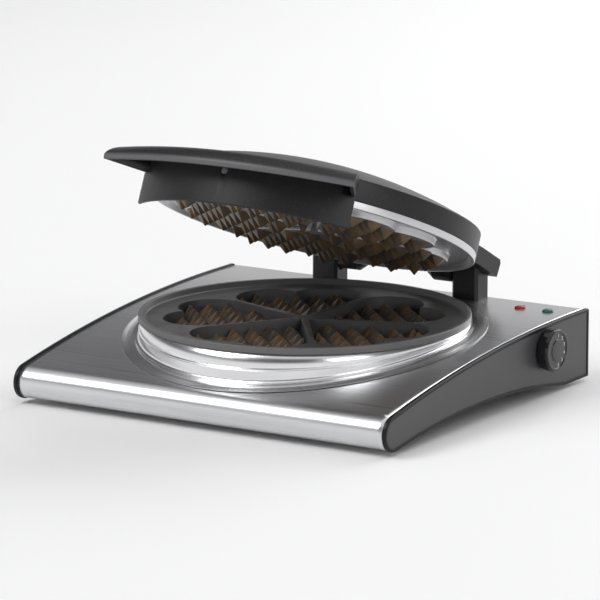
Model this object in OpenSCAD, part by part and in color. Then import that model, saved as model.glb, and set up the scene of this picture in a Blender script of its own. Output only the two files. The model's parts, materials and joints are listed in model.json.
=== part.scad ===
// Countertop rosette iron: a wedge-shaped steel base with a round heated plate,
// and a hinged, floating lid with a second plate and a visor handle.
// X runs to the right cheek, Y to the rear, Z up. The lid is drawn part open.

/* [Body] */
// Space at each side of the drum's flange
side_room = 23; // [18:0.5:35]
// Space between the drum's flange and the front edge
front_room = 12.5; // [10:0.5:20]
// Space behind the hinge posts
rear_room = 1; // [1:0.1:10]
// Height of the steel top at the rear, above the cheeks' lower edge
body_h = 50.6; // [48:0.1:58]
// Radius of the rounded front edge
nose_r = 12.7; // [11:0.1:14]
// Radius of the long curve of the top
crown_r = 1300; // [1200:10:1600]
// Thickness of a cheek
cheek_t = 3; // [2:0.1:4]
// Rise of the arch under a cheek
arch_rise = 9.5; // [6:0.1:11]
// Length of a cheek's flat rear foot
rear_foot = 35; // [25:1:45]
// Thickness of the steel top
sheet_t = 0.8; // [0.6:0.1:1.2]
// How far the cheeks stand proud of the steel top
cheek_proud = 0.8; // [0.4:0.1:1.5]
// Height of the lip that the steel top has along the rear
lip_h = 12; // [8:1:18]
// Wall of the moulded tray and the cheeks' ribs
tray_t = 2.5; // [2:0.1:3]

/* [Feet] */
// Gap between the bench and the cheeks' lower edge
foot_h = 3; // [2:0.1:5]
// Radius of a rubber foot
foot_r = 8; // [6:0.1:10]
// Distance of the feet from the cheeks
foot_side = 34; // [30:1:45]
// Distance of the front feet from the nose
foot_front = 42; // [36:1:55]
// Distance of the rear feet from the rear wall
foot_rear = 24; // [20:1:30]

/* [Plates] */
// Radius of the baking plates, which sizes the drum, the lid and the body
plate_r = 120; // [110:0.5:130]
// Height of the lower rim above the steel top at the rear
plate_rise = 5.6; // [5:0.1:8]
// Height of the lower rim's outer band
rim_h = 4.85; // [4:0.05:4.9]
// Width of a rim's flat edge
rim_w = 3; // [2:0.1:4]
// Gap between the two rims when the lid is shut
rim_gap = 0.4; // [0.2:0.1:1]
// Depth of the lower plate's channel below its rim
channel_drop = 4; // [3:0.1:5]
// Depth of the heart-shaped hollows below the channel
hollow_drop = 9.2; // [9:0.1:10]
// Height of the lower plate's casting under its rim
casting_h = 13; // [12.5:0.1:14]
// Height of the upper plate's outer band
band_h = 5.25; // [4.5:0.05:6]
// Depth of the upper plate's channel above its rim
upper_drop = 3.5; // [3:0.1:4]
// How far the upper hearts stand below the upper rim
heart_proud = 1.5; // [1:0.1:2.5]
// Distance from the plate's edge to the hearts
heart_edge = 18; // [16:0.5:24]
// Angle from a heart's axis to the centre of a lobe
lobe_angle = 15; // [13:0.5:16]
// Half the web between two hearts
half_web = 1.5; // [1:0.1:3]
// Distance from the centre to a heart's point
heart_tip = 5; // [4:0.5:9]
// Spacing of the pyramids
pitch = 14; // [12:0.5:16]
// Height of a pyramid
pyramid_h = 7; // [5:0.1:7.5]
// Width of a pyramid's blunt top
pyramid_tip = 0.8; // [0.5:0.1:2]

/* [Drum] */
// How far the drum stands inside the plate's edge
drum_in = 1; // [0.5:0.1:2]
// Thickness of the polished drum
drum_t = 0.5; // [0.4:0.05:0.55]
// Width of the drum's flange
flange_w = 13; // [9:0.5:13.5]
// Height of the bead on the flange
bead_h = 2; // [1:0.1:3]

/* [Heating] */
// Distance from the plate's edge to the middle of the heater's tube
heater_in = 50; // [40:1:60]
// Radius of a heater's tube
heater_r = 3.5; // [3:0.1:3.6]
// Radius of a heater's cold end
terminal_r = 2; // [1.5:0.1:2.5]
// Thickness of a reflector
reflector_t = 0.8; // [0.5:0.1:1]
// Distance from the plate's edge to its screws
screws_in = 28; // [24:1:32]

/* [Lid] */
// Height of the cover's ridge above the upper rim
ridge_h = 21; // [20:0.5:24]
// Rise of the dome above the ridge
dome_rise = 22.4; // [20:0.2:26]
// Wall of the cover
cover_t = 2.5; // [2:0.1:3]

/* [Hinge] */
// Distance from the lid's edge back to the hinge's axis
hinge_out = 11; // [10.5:0.1:11.5]
// Height of the hinge axis above the upper rim
hinge_up = 5.8; // [5.5:0.1:6.5]
// Radius of a hinge pin
pin_r = 3; // [2.5:0.1:3.2]
// Running clearance of a pin in the lid's arm
pin_clear = 0.05; // [0.02:0.01:0.1]
// Radius of the lid's knuckles
knuckle_r = 7.8; // [7:0.1:8.2]
// Distance of a post's middle from the body's middle
post_x = 60.5; // [58:0.5:64]
// Width of a post
post_w = 21.9; // [20.9:0.1:23.9]
// Depth of a post, front to rear
post_d = 18; // [17:0.5:19]
// Height of a post above the steel top
post_h = 26.6; // [26:0.1:27]
// Width of a riser inside its post
riser_w = 12.5; // [11:0.5:13]
// Depth of a riser, front to rear
riser_d = 11; // [10:0.5:12]
// Gap round a riser in its guide
guide_gap = 0.3; // [0.2:0.05:0.5]
// Height that the hinge can rise to let a thick batch swell
lift_max = 8; // [7:0.1:9]
// Height that the hinge has risen as drawn
lift_now = 5.8; // [0:0.1:6.5]
// Angle that the lid stands open as drawn
lid_now = 24.2; // [20:0.1:60]
// Thickness of a leg of the lid's arms
leg_t = 8; // [6:0.5:9]

/* [Handle] */
// Width of the visor
visor_w = 208; // [200:1:212]
// How far the visor reaches in front of the lid's cover
visor_out = 25; // [23:0.5:28]
// How far the visor's front bows forward of its ends
visor_bow = 18; // [15:0.5:20]
// Height of the visor's lower edge above the upper rim
visor_low = 6.5; // [5.5:0.1:7.5]
// Wall of the handle
visor_t = 2.6; // [2.2:0.1:3]
// Distance from the cover to the skirt's outer face
skirt_out = 8.8; // [7.5:0.1:10]
// Half of the angle that the skirt spans
skirt_half = 43; // [40:0.5:44]
// How far the skirt hangs below the upper rim
skirt_drop = 16.5; // [14:0.1:18]

/* [Controls] */
// Radius of the knob
knob_r = 15.5; // [14:0.1:16]
// How far the knob stands off the cheek
knob_h = 10; // [8:0.1:12]
// Distance of the knob's axis from the rear wall
knob_back = 64.5; // [62:0.5:70]
// Height of the knob's axis above the cheeks' lower edge
knob_z = 32.4; // [31:0.1:33]
// Radius of the thermostat's shaft
shaft_r = 3; // [2.5:0.1:3.2]
// Running clearance of that shaft in its bush
shaft_clear = 0.05; // [0.02:0.01:0.1]
// Radius of a pilot lamp
lamp_r = 4.2; // [3.5:0.1:5]
// Distance of the lamps from the rear wall
lamp_back = 22.8; // [20:0.1:26]
// Distance of the red lamp from the right cheek's face
red_lamp_side = 44.8; // [42:0.1:48]
// Distance of the green lamp from the right cheek's face
green_lamp_side = 21.8; // [18:0.1:24]

/* [Supply] */
// Radius of the hole for the supply lead
lead_r = 3.7; // [3:0.1:4.5]
// Radius of an inner wire
wire_r = 1.1; // [0.8:0.1:1.3]
// Length of the lead's bush
gland_len = 14; // [12:0.5:18]
// How far the bush stands out of the rear wall
gland_out = 5; // [4:0.5:8]
// Distance of the bush from the body's middle
gland_x = -104; // [-112:1:-96]

/* [Screws] */
// Radius of a plate screw
big_screw_r = 2; // [1.8:0.1:2.2]
// Radius of a small screw
small_screw_r = 1.4; // [1.2:0.1:1.5]
// Gap round a screw or a lamp in its hole
hole_gap = 0.15; // [0.1:0.05:0.3]

/* [Hidden] */

steel = [0.78, 0.78, 0.79];
polished = [0.85, 0.85, 0.86];
black = [0.13, 0.13, 0.14];
dark = [0.24, 0.24, 0.25];
aluminium = [0.66, 0.67, 0.68];
fine = 180;
round_fn = 64;
wire_side = [0.3, 0.5, 0.8];
small_fn = 32;
slip = 0.1;

cover_r = plate_r;
drum_r = plate_r - drum_in;
flange_r = drum_r + flange_w;
heart_reach = plate_r - heart_edge;
heater_ring = plate_r - heater_in;
plate_screws_r = plate_r - screws_in;
hinge_reach = cover_r + hinge_out;
visor_reach = cover_r + visor_out;
skirt_r = cover_r + skirt_out;
post_shift = 1.5;
leg_gap = 1.05;
body_w = 2 * (flange_r + side_room);
body_d = front_room + flange_r + hinge_reach + post_d / 2 + post_shift + rear_room;

front_y = -body_d / 2;
rear_y = body_d / 2;
right_x = body_w / 2;
nose_y = front_y + nose_r;
nose_z = foot_h + nose_r;
top_z = foot_h + body_h;
crown_z = top_z - crown_r;
crown_y = nose_y + sqrt(pow(crown_r - nose_r, 2) - pow(nose_z - crown_z, 2));
inner_x = right_x - cheek_t;
sheet_y = rear_y - cheek_proud;
sheet_top = top_z - cheek_proud;

arch_front = nose_y + 2;
arch_rear = rear_y - rear_foot;
arch_half = (arch_rear - arch_front) / 2;
arch_y = (arch_rear + arch_front) / 2;
arch_r = (arch_half * arch_half + arch_rise * arch_rise) / (2 * arch_rise);

plate_y = front_y + front_room + flange_r;
rim_top = top_z + plate_rise;
rim_bottom = rim_top - rim_h;
channel_z = rim_top - channel_drop;
hollow_z = channel_z - hollow_drop;
casting_r = drum_r - drum_t - 2;
casting_z = rim_bottom - casting_h;
reflector_z = casting_z - 2 * heater_r - slip - reflector_t;
foot_peg = foot_r - 5;
tray_z = foot_h + arch_rise + 0.5;
tray_top = tray_z + tray_t;
tray_front = nose_y + 10;
tray_rear = sheet_y - sheet_t - guide_gap;

lobe_sin = sin(36 - lobe_angle);
lobe_d = (heart_reach + half_web) / (1 + lobe_sin);
lobe_r = heart_reach - lobe_d;
lobe_x = lobe_d * cos(lobe_angle);
lobe_y = lobe_d * sin(lobe_angle);
side_len = sqrt(pow(lobe_x - heart_tip, 2) + lobe_y * lobe_y);
lobe_bite = 0.05;
side_angle = atan2(lobe_y, lobe_x - heart_tip) + asin((lobe_r - lobe_bite) / side_len);
side_run = sqrt(side_len * side_len - pow(lobe_r - lobe_bite, 2));
pyramid_foot = pitch - 0.6;
pyramid_margin = pyramid_foot * 0.62;
grid_n = ceil(heart_reach / pitch);

drum_top = rim_bottom - 0.15;
hole_r = flange_r - 6;

hinge_y = plate_y + hinge_reach;
hinge_low = rim_top + rim_gap + hinge_up;
hinge_z = hinge_low + lift_now;
post_top = top_z + post_h;
post_cap = 1.6;
post_edge = 2;
post_front = hinge_y - post_d / 2 + post_shift;
post_mid = post_front + post_d / 2;
post_in = post_x - post_w / 2;
post_out = post_x + post_w / 2;
bar_h = 8;
bar_z = tray_top + 3.5 + lift_now;
bracket_t = 2;
bracket_z = sheet_top - sheet_t - bracket_t - slip;

dome_r = (cover_r * cover_r + dome_rise * dome_rise) / (2 * dome_rise);
cover_top = ridge_h + dome_rise;
cover_low = band_h + slip;
upper_casting = 14;
upper_reflector_z = upper_casting + 2 * heater_r + slip;
leg_in = post_in - leg_gap;
leg_out = post_out + leg_gap;
leg_low = 7;
leg_high = 20.5;
bridge_back = hinge_reach - 17.8;
arm_gap = 0.25;
leg_front = hinge_reach - 51;
arm_screw_angles = [acos((leg_in - leg_t) / cover_r), acos((leg_out + 1.4) / cover_r)];
handle_screw_angle = 24;
front_screw_z = 7.4;
front_screw_deep = 2;
front_recess_r = 3.2;
knuckle_in = leg_in - 2 * leg_t;
knuckle_tip = 5.5;

visor_arc = (pow(visor_w / 2, 2) + visor_bow * visor_bow) / (2 * visor_bow);
visor_cy = -visor_reach + visor_arc;
visor_back_r = cover_r + arm_gap;
visor_back_half = 43.8;
visor_top = ridge_h + 0.5;
skirt_t = 2.5;
visor_n = 36;
visor_m = 10;

knob_y = rear_y - knob_back;
axis_z = foot_h + knob_z;
knob_gap = 0.6;
bush_r = 5;
therm_plate = 1.5;
therm_d = 14;
therm_x = inner_x - therm_plate - therm_d;
tab_len = 7;
lamp_y = rear_y - lamp_back;
gland_z = tray_top + 14;
tray_screw_y = 100;
boss_len = 12;
tab_x = inner_x - boss_len;

offset_x = -knob_h / 2;
offset_y = -gland_out / 2;

// Height of the steel top at a distance y from the body's middle
function top_at(y) = y < crown_y
  ? crown_z - cheek_proud + sqrt(crown_r * crown_r - pow(crown_y - y, 2)) : sheet_top;

// Height that the drum's flange has to rise at a point, from none to full
function swell(y) = min(1, (drum_top - top_at(y)) / 9);

// A ring of profile points of the drum at one angle, outside then inside
function drum_ring(a) = let(
    r = [drum_r, drum_r, drum_r + 0.9, drum_r + 2.6, drum_r + 5.2, drum_r + 8.2,
      flange_r - 2, flange_r],
    h = [0, bead_h * 2.1, bead_h * 1.1, bead_h * 0.75, bead_h, bead_h * 0.8, bead_h * 0.3, 0],
    back = [1, 1, 0.75, 0.3, 0, 0, 0, 0])
  concat(
    [for (i = [0:7]) let(y = plate_y + r[i] * sin(a), s = top_at(y))
      [r[i] * cos(a), y, i == 0 ? drum_top : s + slip + drum_t + swell(y) * h[i]]],
    [for (i = [7:-1:0]) let(q = r[i] - back[i] * drum_t, y = plate_y + q * sin(a), s = top_at(y))
      [q * cos(a), y, i == 0 ? drum_top
        : s + slip + drum_t * back[i] * 0.6 + swell(y) * (h[i] - 0.2 * back[i])]]);

// Triangles that join closed rings of n points, k rings, open or closed round
function ring_faces(n, k, closed) = [for (j = [0:(closed ? k - 1 : k - 2)]) for (i = [0:n - 1])
  let(a = j * n + i, b = j * n + (i + 1) % n, c = ((j + 1) % k) * n + i,
    d = ((j + 1) % k) * n + (i + 1) % n) for (f = [[a, c, b], [b, c, d]]) f];

// Depth of a point inside a heart that points along X
function heart_depth(x, y) = let(v = abs(y),
    lobe = lobe_r - norm([x - lobe_x, v - lobe_y]),
    side = (x - heart_tip) * sin(side_angle) - v * cos(side_angle))
  x < lobe_x ? max(lobe, min(side, x - heart_tip)) : lobe;

// Depth of a point inside whichever of the five hearts holds it
function rosette_depth(x, y) = max([for (k = [0:4]) let(a = 90 + 72 * k + 180)
  heart_depth(x * cos(a) + y * sin(a), y * cos(a) - x * sin(a))]);

// One cross-section of the visor, outside from front to back, then inside
function visor_section(u) = let(
    fx = u * visor_w / 2, fy = visor_cy - sqrt(visor_arc * visor_arc - fx * fx),
    t = u * visor_back_half, bx = visor_back_r * sin(t), by = -visor_back_r * cos(t),
    len = norm([bx - fx, by - fy]), high = visor_top - visor_low,
    hollow = abs(u) < 1 - visor_t / visor_w ? 1 : 0)
  concat(
    [for (j = [0:visor_m]) let(s = 1 - cos(90 * j / visor_m))
      [fx + s * (bx - fx), fy + s * (by - fy),
        visor_low + high * sqrt(1 - pow(1 - s, 3))]],
    [for (j = [visor_m:-1:0]) let(s = max(1 - cos(90 * j / visor_m), visor_t / len))
      [fx + s * (bx - fx), fy + s * (by - fy),
        visor_low + hollow * max(0, high * sqrt(1 - pow(1 - s, 3)) - (j == 0 ? high : visor_t))]]);

// Moves the whole object so that its origin is the middle of its footprint
module place() {
  translate([offset_x, offset_y, 0]) children();
}

// Holds a piece of the lid, drawn as if shut, at the lid's present angle
module in_lid() {
  translate([offset_x, offset_y + hinge_y, hinge_z]) rotate([-lid_now, 0, 0])
    translate([0, -hinge_reach, -hinge_up]) children();
}

// Turns a side view in Y and Z into a solid from x0 to x1
module across(x0, x1) {
  translate([x0, 0, 0]) rotate([90, 0, 90]) linear_extrude(x1 - x0) children();
}

// Side view of the body under its curved top, drawn in by a distance
module side_view(inset) {
  tangent = atan2(nose_z - crown_z, crown_y - nose_y);
  foot_y = nose_y - nose_r * cos(tangent);
  foot_z = nose_z + nose_r * sin(tangent);
  union() {
    intersection() {
      translate([crown_y, crown_z]) circle(crown_r - inset, $fn = 720);
      polygon([[nose_y, nose_z], [foot_y, foot_z], [foot_y, top_z + 20], [crown_y, top_z + 20],
        [crown_y, foot_h], [nose_y, foot_h]]);
    }
    translate([nose_y, nose_z]) circle(nose_r - inset, $fn = 96);
    translate([crown_y - 1, foot_h]) square([rear_y - crown_y + 1 - inset, body_h - inset]);
  }
}

// Side view of a cheek, with the arch under it
module cheek_view(inset) {
  difference() {
    side_view(inset);
    translate([arch_y, foot_h - arch_r + arch_rise]) circle(arch_r + inset, $fn = 720);
    if (inset > 0) translate([front_y, 0]) square([body_d, foot_h + inset]);
  }
}

// Eight points round a wire that passes a point in a direction
function wire_ring(p, way, r) = let(u = cross(way, wire_side), v = cross(way, u))
  [for (a = [0:45:315]) p + r * (cos(a) * u / norm(u) + sin(a) * v / norm(v))];

// A wire along a list of points, mitred at its corners
module wire(points, r) {
  n = len(points);
  steps = [for (i = [1:n - 1]) (points[i] - points[i - 1]) / norm(points[i] - points[i - 1])];
  ways = [for (i = [0:n - 1]) steps[max(i - 1, 0)] + steps[min(i, n - 2)]];
  polyhedron(points = [for (i = [0:n - 1]) each wire_ring(points[i], ways[i], r)],
    faces = concat(ring_faces(8, n, false), [[for (i = [0:7]) i]], [[for (i = [7:-1:0]) (n - 1) * 8 + i]]));
}

// A screw that points up, with its head below zero and a crossed recess
module screw(r, length) {
  head = r * 1.9;
  difference() {
    union() {
      translate([0, 0, -r * 1.2]) cylinder(h = r * 1.2, r = head, $fn = small_fn);
      cylinder(h = length, r = r, $fn = small_fn);
    }
    for (a = [0, 90]) rotate(a) translate([-head * 0.6, -r * 0.15, -r * 1.2 - 1])
      cube([head * 1.2, r * 0.3, r * 0.7 + 1]);
  }
}

// Places of the three plate screws round a plate
module at_plate_screws(r) {
  for (a = [90, 234, 306]) translate([r * cos(a), r * sin(a), 0]) children();
}

module heart() {
  run = heart_tip + side_run * cos(side_angle);
  rise = side_run * sin(side_angle);
  for (s = [-1, 1]) translate([lobe_x, s * lobe_y]) circle(lobe_r, $fn = 96);
  polygon([[heart_tip, 0], [run, -rise], [lobe_x, -lobe_y], [lobe_x + lobe_r * 0.6, 0],
    [lobe_x, lobe_y], [run, rise]]);
}

module rosette() {
  for (k = [0:4]) rotate(-90 + 72 * k) heart();
}

// The pyramids of all five hearts, standing up from zero, moved by part of a pitch. Those at a
// heart's edge are smaller, so that they fit inside it.
module pyramids(shift) {
  for (i = [-grid_n:grid_n]) for (j = [-grid_n:grid_n]) {
    u = (i + shift) * pitch;
    v = (j + shift) * pitch;
    x = (u - v) * sqrt(0.5);
    y = (u + v) * sqrt(0.5);
    size = min(1, (rosette_depth(x, y) - slip) / pyramid_margin);
    if (size > 0.35) translate([x, y, 0]) cylinder(h = pyramid_h * size,
      r1 = pyramid_foot * size * sqrt(0.5), r2 = pyramid_tip * sqrt(0.5), $fn = 4);
  }
}

module top_shell() {
  color(steel) place() difference() {
    across(-inner_x + slip, inner_x - slip) {
      difference() {
        side_view(cheek_proud);
        side_view(cheek_proud + sheet_t);
        translate([arch_rear, 0]) square([rear_foot + 1, sheet_top - lip_h]);
      }
      translate([nose_y - 1, foot_h + cheek_proud])
        square([tray_front + tray_t + 2 - nose_y, sheet_t]);
    }
    translate([0, plate_y, foot_h + nose_r]) cylinder(h = top_z, r = hole_r, $fn = fine);
    for (s = [-1, 1]) {
      translate([s * post_x - riser_w / 2 - guide_gap, post_mid - riser_d / 2 - guide_gap, top_z - 5])
        cube([riser_w + 2 * guide_gap, riser_d + 2 * guide_gap, 10]);
      at_post_screws(s) translate([0, 0, top_z - 5])
        cylinder(h = 10, r = small_screw_r + hole_gap, $fn = small_fn);
    }
    for (side = [red_lamp_side, green_lamp_side]) translate([right_x - side, lamp_y, top_z - 5])
      cylinder(h = 10, r = lamp_r - 1 + hole_gap, $fn = small_fn);
  }
}

module plate_collar() {
  color(polished) place() polyhedron(
    points = [for (a = [0:3:357]) each drum_ring(a)], faces = ring_faces(16, 120, true));
}

// A cheek: the outer panel, a shelf that carries the steel top, and screw bosses
module cheek() {
  shelf = cheek_proud + sheet_t + slip;
  difference() {
    union() {
      across(inner_x, right_x) cheek_view(0);
      across(inner_x - 7, inner_x) difference() {
        side_view(shelf);
        side_view(shelf + tray_t);
        translate([front_y, 0]) square([body_d, nose_z]);
        translate([tray_rear - 3, 0]) square([20, top_z]);
      }
      for (y = [-tray_screw_y, 0, tray_screw_y]) translate([tab_x, y, tray_top + 6])
        rotate([0, 90, 0]) cylinder(h = boss_len + 0.5, r = 4, $fn = small_fn);
    }
    for (y = [-tray_screw_y, 0, tray_screw_y]) translate([tab_x - 1, y, tray_top + 6])
      rotate([0, 90, 0]) cylinder(h = boss_len, r = small_screw_r, $fn = small_fn);
  }
}

module right_cheek() {
  color(black) place() difference() {
    cheek();
    translate([inner_x - 1, knob_y, axis_z]) rotate([0, 90, 0])
      cylinder(h = cheek_t + 2, r = bush_r + hole_gap, $fn = round_fn);
  }
}

module left_cheek() {
  color(black) place() mirror([1, 0, 0]) cheek();
}

// Vents in the tray's floor, in two rows on each side
module vents() {
  for (s = [-1, 1]) for (i = [0:7]) for (j = [0, 1])
    translate([s * (68 + j * 30) - 11, -60 + i * 10, tray_z - 1]) cube([22, 3.5, tray_t + 2]);
}

module base_tray() {
  half = inner_x - slip;
  color(black) place() difference() {
    union() {
      translate([-half, tray_front, tray_z]) cube([2 * half, tray_rear - tray_front, tray_t]);
      translate([-half, tray_front, foot_h + cheek_proud + sheet_t + slip])
        cube([2 * half, tray_t, tray_top - foot_h - cheek_proud - sheet_t - slip]);
      difference() {
        translate([-half, tray_rear - tray_t, tray_z])
          cube([2 * half, tray_t, sheet_top - sheet_t - slip - tray_z]);
        for (s = [-1, 1]) translate([s * half, tray_rear, sheet_top]) cube([16, 8, 16], center = true);
      }
      translate([0, plate_y, 0]) at_plate_screws(plate_screws_r) translate([0, 0, tray_z])
        cylinder(h = reflector_z - tray_z, r = 6, $fn = small_fn);
      for (s = [-1, 1]) for (y = [-tray_screw_y, 0, tray_screw_y])
        translate([s * (tab_x - 1.5), y, tray_top + 4.5]) cube([3, 10, 11], center = true);
    }
    at_feet() translate([0, 0, tray_z - 1])
      cylinder(h = tray_t + 2, r = foot_peg + slip, $fn = round_fn);
    translate([0, plate_y, 0]) at_plate_screws(plate_screws_r) {
      translate([0, 0, tray_z - 1]) cylinder(h = 40, r = big_screw_r + hole_gap, $fn = small_fn);
      translate([0, 0, tray_z - 1]) cylinder(h = 7, r = 4.2, $fn = small_fn);
    }
    for (s = [-1, 1]) for (y = [-tray_screw_y, 0, tray_screw_y])
      translate([s * (tab_x - 8), y, tray_top + 6]) rotate([0, s * 90, 0])
        cylinder(h = 10, r = small_screw_r + hole_gap, $fn = small_fn);
    translate([gland_x, tray_rear + 1, gland_z]) rotate([90, 0, 0])
      cylinder(h = tray_t + 2, r = lead_r + 3 + hole_gap, $fn = round_fn);
    vents();
    for (i = [-6:6]) translate([i * 8 + 30, tray_rear - tray_t - 1, tray_top + 8])
      cube([3.5, tray_t + 2, 12]);
  }
}

// Places of the four feet, or of one of them
module at_feet(which = [0, 1, 2, 3]) {
  places = [[-1, nose_y + foot_front], [1, nose_y + foot_front],
    [-1, rear_y - foot_rear], [1, rear_y - foot_rear]];
  for (i = which) translate([places[i][0] * (inner_x - foot_side), places[i][1], 0]) children();
}

module foot(i) {
  color(dark) place() at_feet([i]) {
    cylinder(h = foot_h, r1 = foot_r - 1, r2 = foot_r, $fn = round_fn);
    translate([0, 0, foot_h - 0.01])
      cylinder(h = tray_z - foot_h - slip + 0.01, r = foot_r - 1.5, $fn = round_fn);
    translate([0, 0, tray_z - 1]) cylinder(h = tray_t + 2, r = foot_peg, $fn = round_fn);
  }
}

module lower_plate() {
  color(aluminium) place() translate([0, plate_y, 0]) difference() {
    union() {
      difference() {
        rotate_extrude($fn = fine) polygon([[0, casting_z], [casting_r - 1, casting_z],
          [casting_r, casting_z + 1], [casting_r, rim_bottom], [plate_r - 0.6, rim_bottom],
          [plate_r, rim_bottom + 0.6], [plate_r, rim_top - 0.5], [plate_r - 0.5, rim_top],
          [plate_r - rim_w, rim_top], [plate_r - rim_w - 3, channel_z], [0, channel_z]]);
        translate([0, 0, hollow_z]) linear_extrude(20) rosette();
      }
      translate([0, 0, hollow_z - 0.01]) pyramids(0);
      at_plate_screws(plate_screws_r) translate([0, 0, reflector_z + reflector_t])
        cylinder(h = casting_z - reflector_z - reflector_t + 1, r = 6, $fn = small_fn);
    }
    at_plate_screws(plate_screws_r) translate([0, 0, reflector_z])
      cylinder(h = casting_z - reflector_z + 3, r = big_screw_r, $fn = small_fn);
  }
}

// A tube bent into an open ring, with its two cold ends turned down
module heater() {
  gap = 16;
  rotate(90 + gap / 2) rotate_extrude(angle = 360 - gap, $fn = fine)
    translate([heater_ring, 0]) circle(heater_r, $fn = small_fn);
  for (s = [-1, 1]) rotate(90 + s * gap / 2) translate([heater_ring, 0, 0]) {
    sphere(heater_r, $fn = small_fn);
    rotate([180, 0, 0]) cylinder(h = 12, r = terminal_r, $fn = small_fn);
  }
}

module lower_heater() {
  color([0.35, 0.35, 0.36]) place() translate([0, plate_y, casting_z - heater_r - slip / 2]) heater();
}

module lower_reflector() {
  edge = casting_r - 4;
  lip = casting_z - reflector_z - slip;
  color(steel) place() translate([0, plate_y, reflector_z]) difference() {
    rotate_extrude($fn = fine) polygon([[20, 0], [edge - 4, 0], [edge, 4], [edge, lip],
      [edge - reflector_t, lip], [edge - reflector_t, 4.4], [edge - 4.4, reflector_t],
      [20, reflector_t]]);
    translate([0, heater_ring, -1]) cube([30, 12, 6], center = true);
    at_plate_screws(plate_screws_r) translate([0, 0, -1])
      cylinder(h = 4, r = big_screw_r + hole_gap, $fn = small_fn);
  }
}

module lower_plate_screws() {
  color(steel) place() translate([0, plate_y, tray_z + 6]) at_plate_screws(plate_screws_r)
    screw(big_screw_r - 0.02, casting_z - tray_z - 4);
}

module thermostat() {
  color([0.8, 0.76, 0.68]) place() translate([0, knob_y, axis_z]) difference() {
    union() {
      translate([therm_x, -15, -13]) cube([therm_d, 30, 24]);
      translate([therm_x + therm_d, -13, -10]) cube([therm_plate, 26, 18]);
      translate([therm_x + therm_d, 0, 0]) rotate([0, 90, 0])
        cylinder(h = right_x + 3 - therm_x - therm_d, r = bush_r, $fn = round_fn);
      for (s = [-1, 1]) translate([therm_x - tab_len, s * 8 - 3, -4]) cube([tab_len + 1, 6, 0.8]);
    }
    translate([therm_x + 4, 0, 0]) rotate([0, 90, 0])
      cylinder(h = 60, r = shaft_r + shaft_clear, $fn = round_fn);
  }
}

module thermostat_nut() {
  color(steel) place() translate([right_x, knob_y, axis_z]) rotate([0, 90, 0]) difference() {
    cylinder(h = 2, r = bush_r + 1.6, $fn = 6);
    translate([0, 0, -1]) cylinder(h = 8, r = bush_r + 0.02, $fn = round_fn);
  }
}

module thermostat_shaft() {
  start = therm_x + 4.5;
  color(steel) place() translate([start, knob_y, axis_z]) rotate([0, 90, 0]) difference() {
    cylinder(h = right_x + knob_h - 3 - start, r = shaft_r, $fn = round_fn);
    translate([shaft_r * 0.55, -5, right_x + 4 - start]) cube([5, 10, 20]);
  }
}

module knob() {
  grip = knob_h - knob_gap;
  color(black) place() translate([right_x + knob_gap, knob_y, axis_z]) rotate([0, 90, 0])
    difference() {
    rotate_extrude($fn = fine) polygon([[0, 0], [knob_r - 1.2, 0], [knob_r - 0.4, 1],
      [knob_r, grip - 2.2], [knob_r - 0.7, grip - 0.6], [knob_r - 2.2, grip],
      [knob_r - 3.4, grip - 0.5], [8.6, grip - 0.5], [7.6, grip + 0], [0, grip]]);
    translate([0, 0, -1]) cylinder(h = 1 + 3.2, r = bush_r + 2.4, $fn = round_fn);
    difference() {
      cylinder(h = grip - 2.2, r = shaft_r + 0.02, $fn = round_fn);
      translate([shaft_r * 0.55 + 0.02, -5, 3.4]) cube([5, 10, 20]);
    }
  }
}

module lamp(side, shade) {
  color(shade) place() translate([right_x - side, lamp_y, sheet_top]) {
    rotate_extrude($fn = round_fn) polygon([[0, 0.02], [lamp_r, 0.02], [lamp_r, 0.7],
      [lamp_r - 0.9, 1.4], [lamp_r - 2.2, 1.7], [0, 1.8]]);
    translate([0, 0, -15]) cylinder(h = 15.1, r = lamp_r - 1, $fn = small_fn);
  }
}

module lamp_clips() {
  color(steel) place() for (side = [red_lamp_side, green_lamp_side])
    translate([right_x - side, lamp_y, sheet_top - sheet_t - 1.2]) difference() {
      cylinder(h = 1.1, r = lamp_r + 2.5, $fn = small_fn);
      translate([0, 0, -1]) cylinder(h = 4, r = lamp_r - 0.98, $fn = small_fn);
    }
}

module terminal_block() {
  color([0.9, 0.9, 0.88]) place() translate([gland_x + 14, rear_y - 52, tray_top]) difference() {
    cube([14, 30, 13]);
    for (i = [0:2]) translate([-1, 6 + i * 9, 7]) rotate([0, 90, 0])
      cylinder(h = 20, r = 2, $fn = small_fn);
  }
}

module cord_gland() {
  wall = tray_rear - tray_t;
  color(dark) place() translate([gland_x, wall - slip, gland_z]) rotate([-90, 0, 0]) difference() {
    union() {
      translate([0, 0, gland_out - gland_len + rear_y - wall + slip])
        cylinder(h = gland_len, r = lead_r + 3, $fn = round_fn);
      translate([0, 0, tray_t + 0.4])
        cylinder(h = gland_out - 2 + rear_y - wall - tray_t, r = lead_r + 5, $fn = round_fn);
    }
    translate([0, 0, -gland_len]) cylinder(h = 60, r = lead_r, $fn = round_fn);
  }
}

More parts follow.
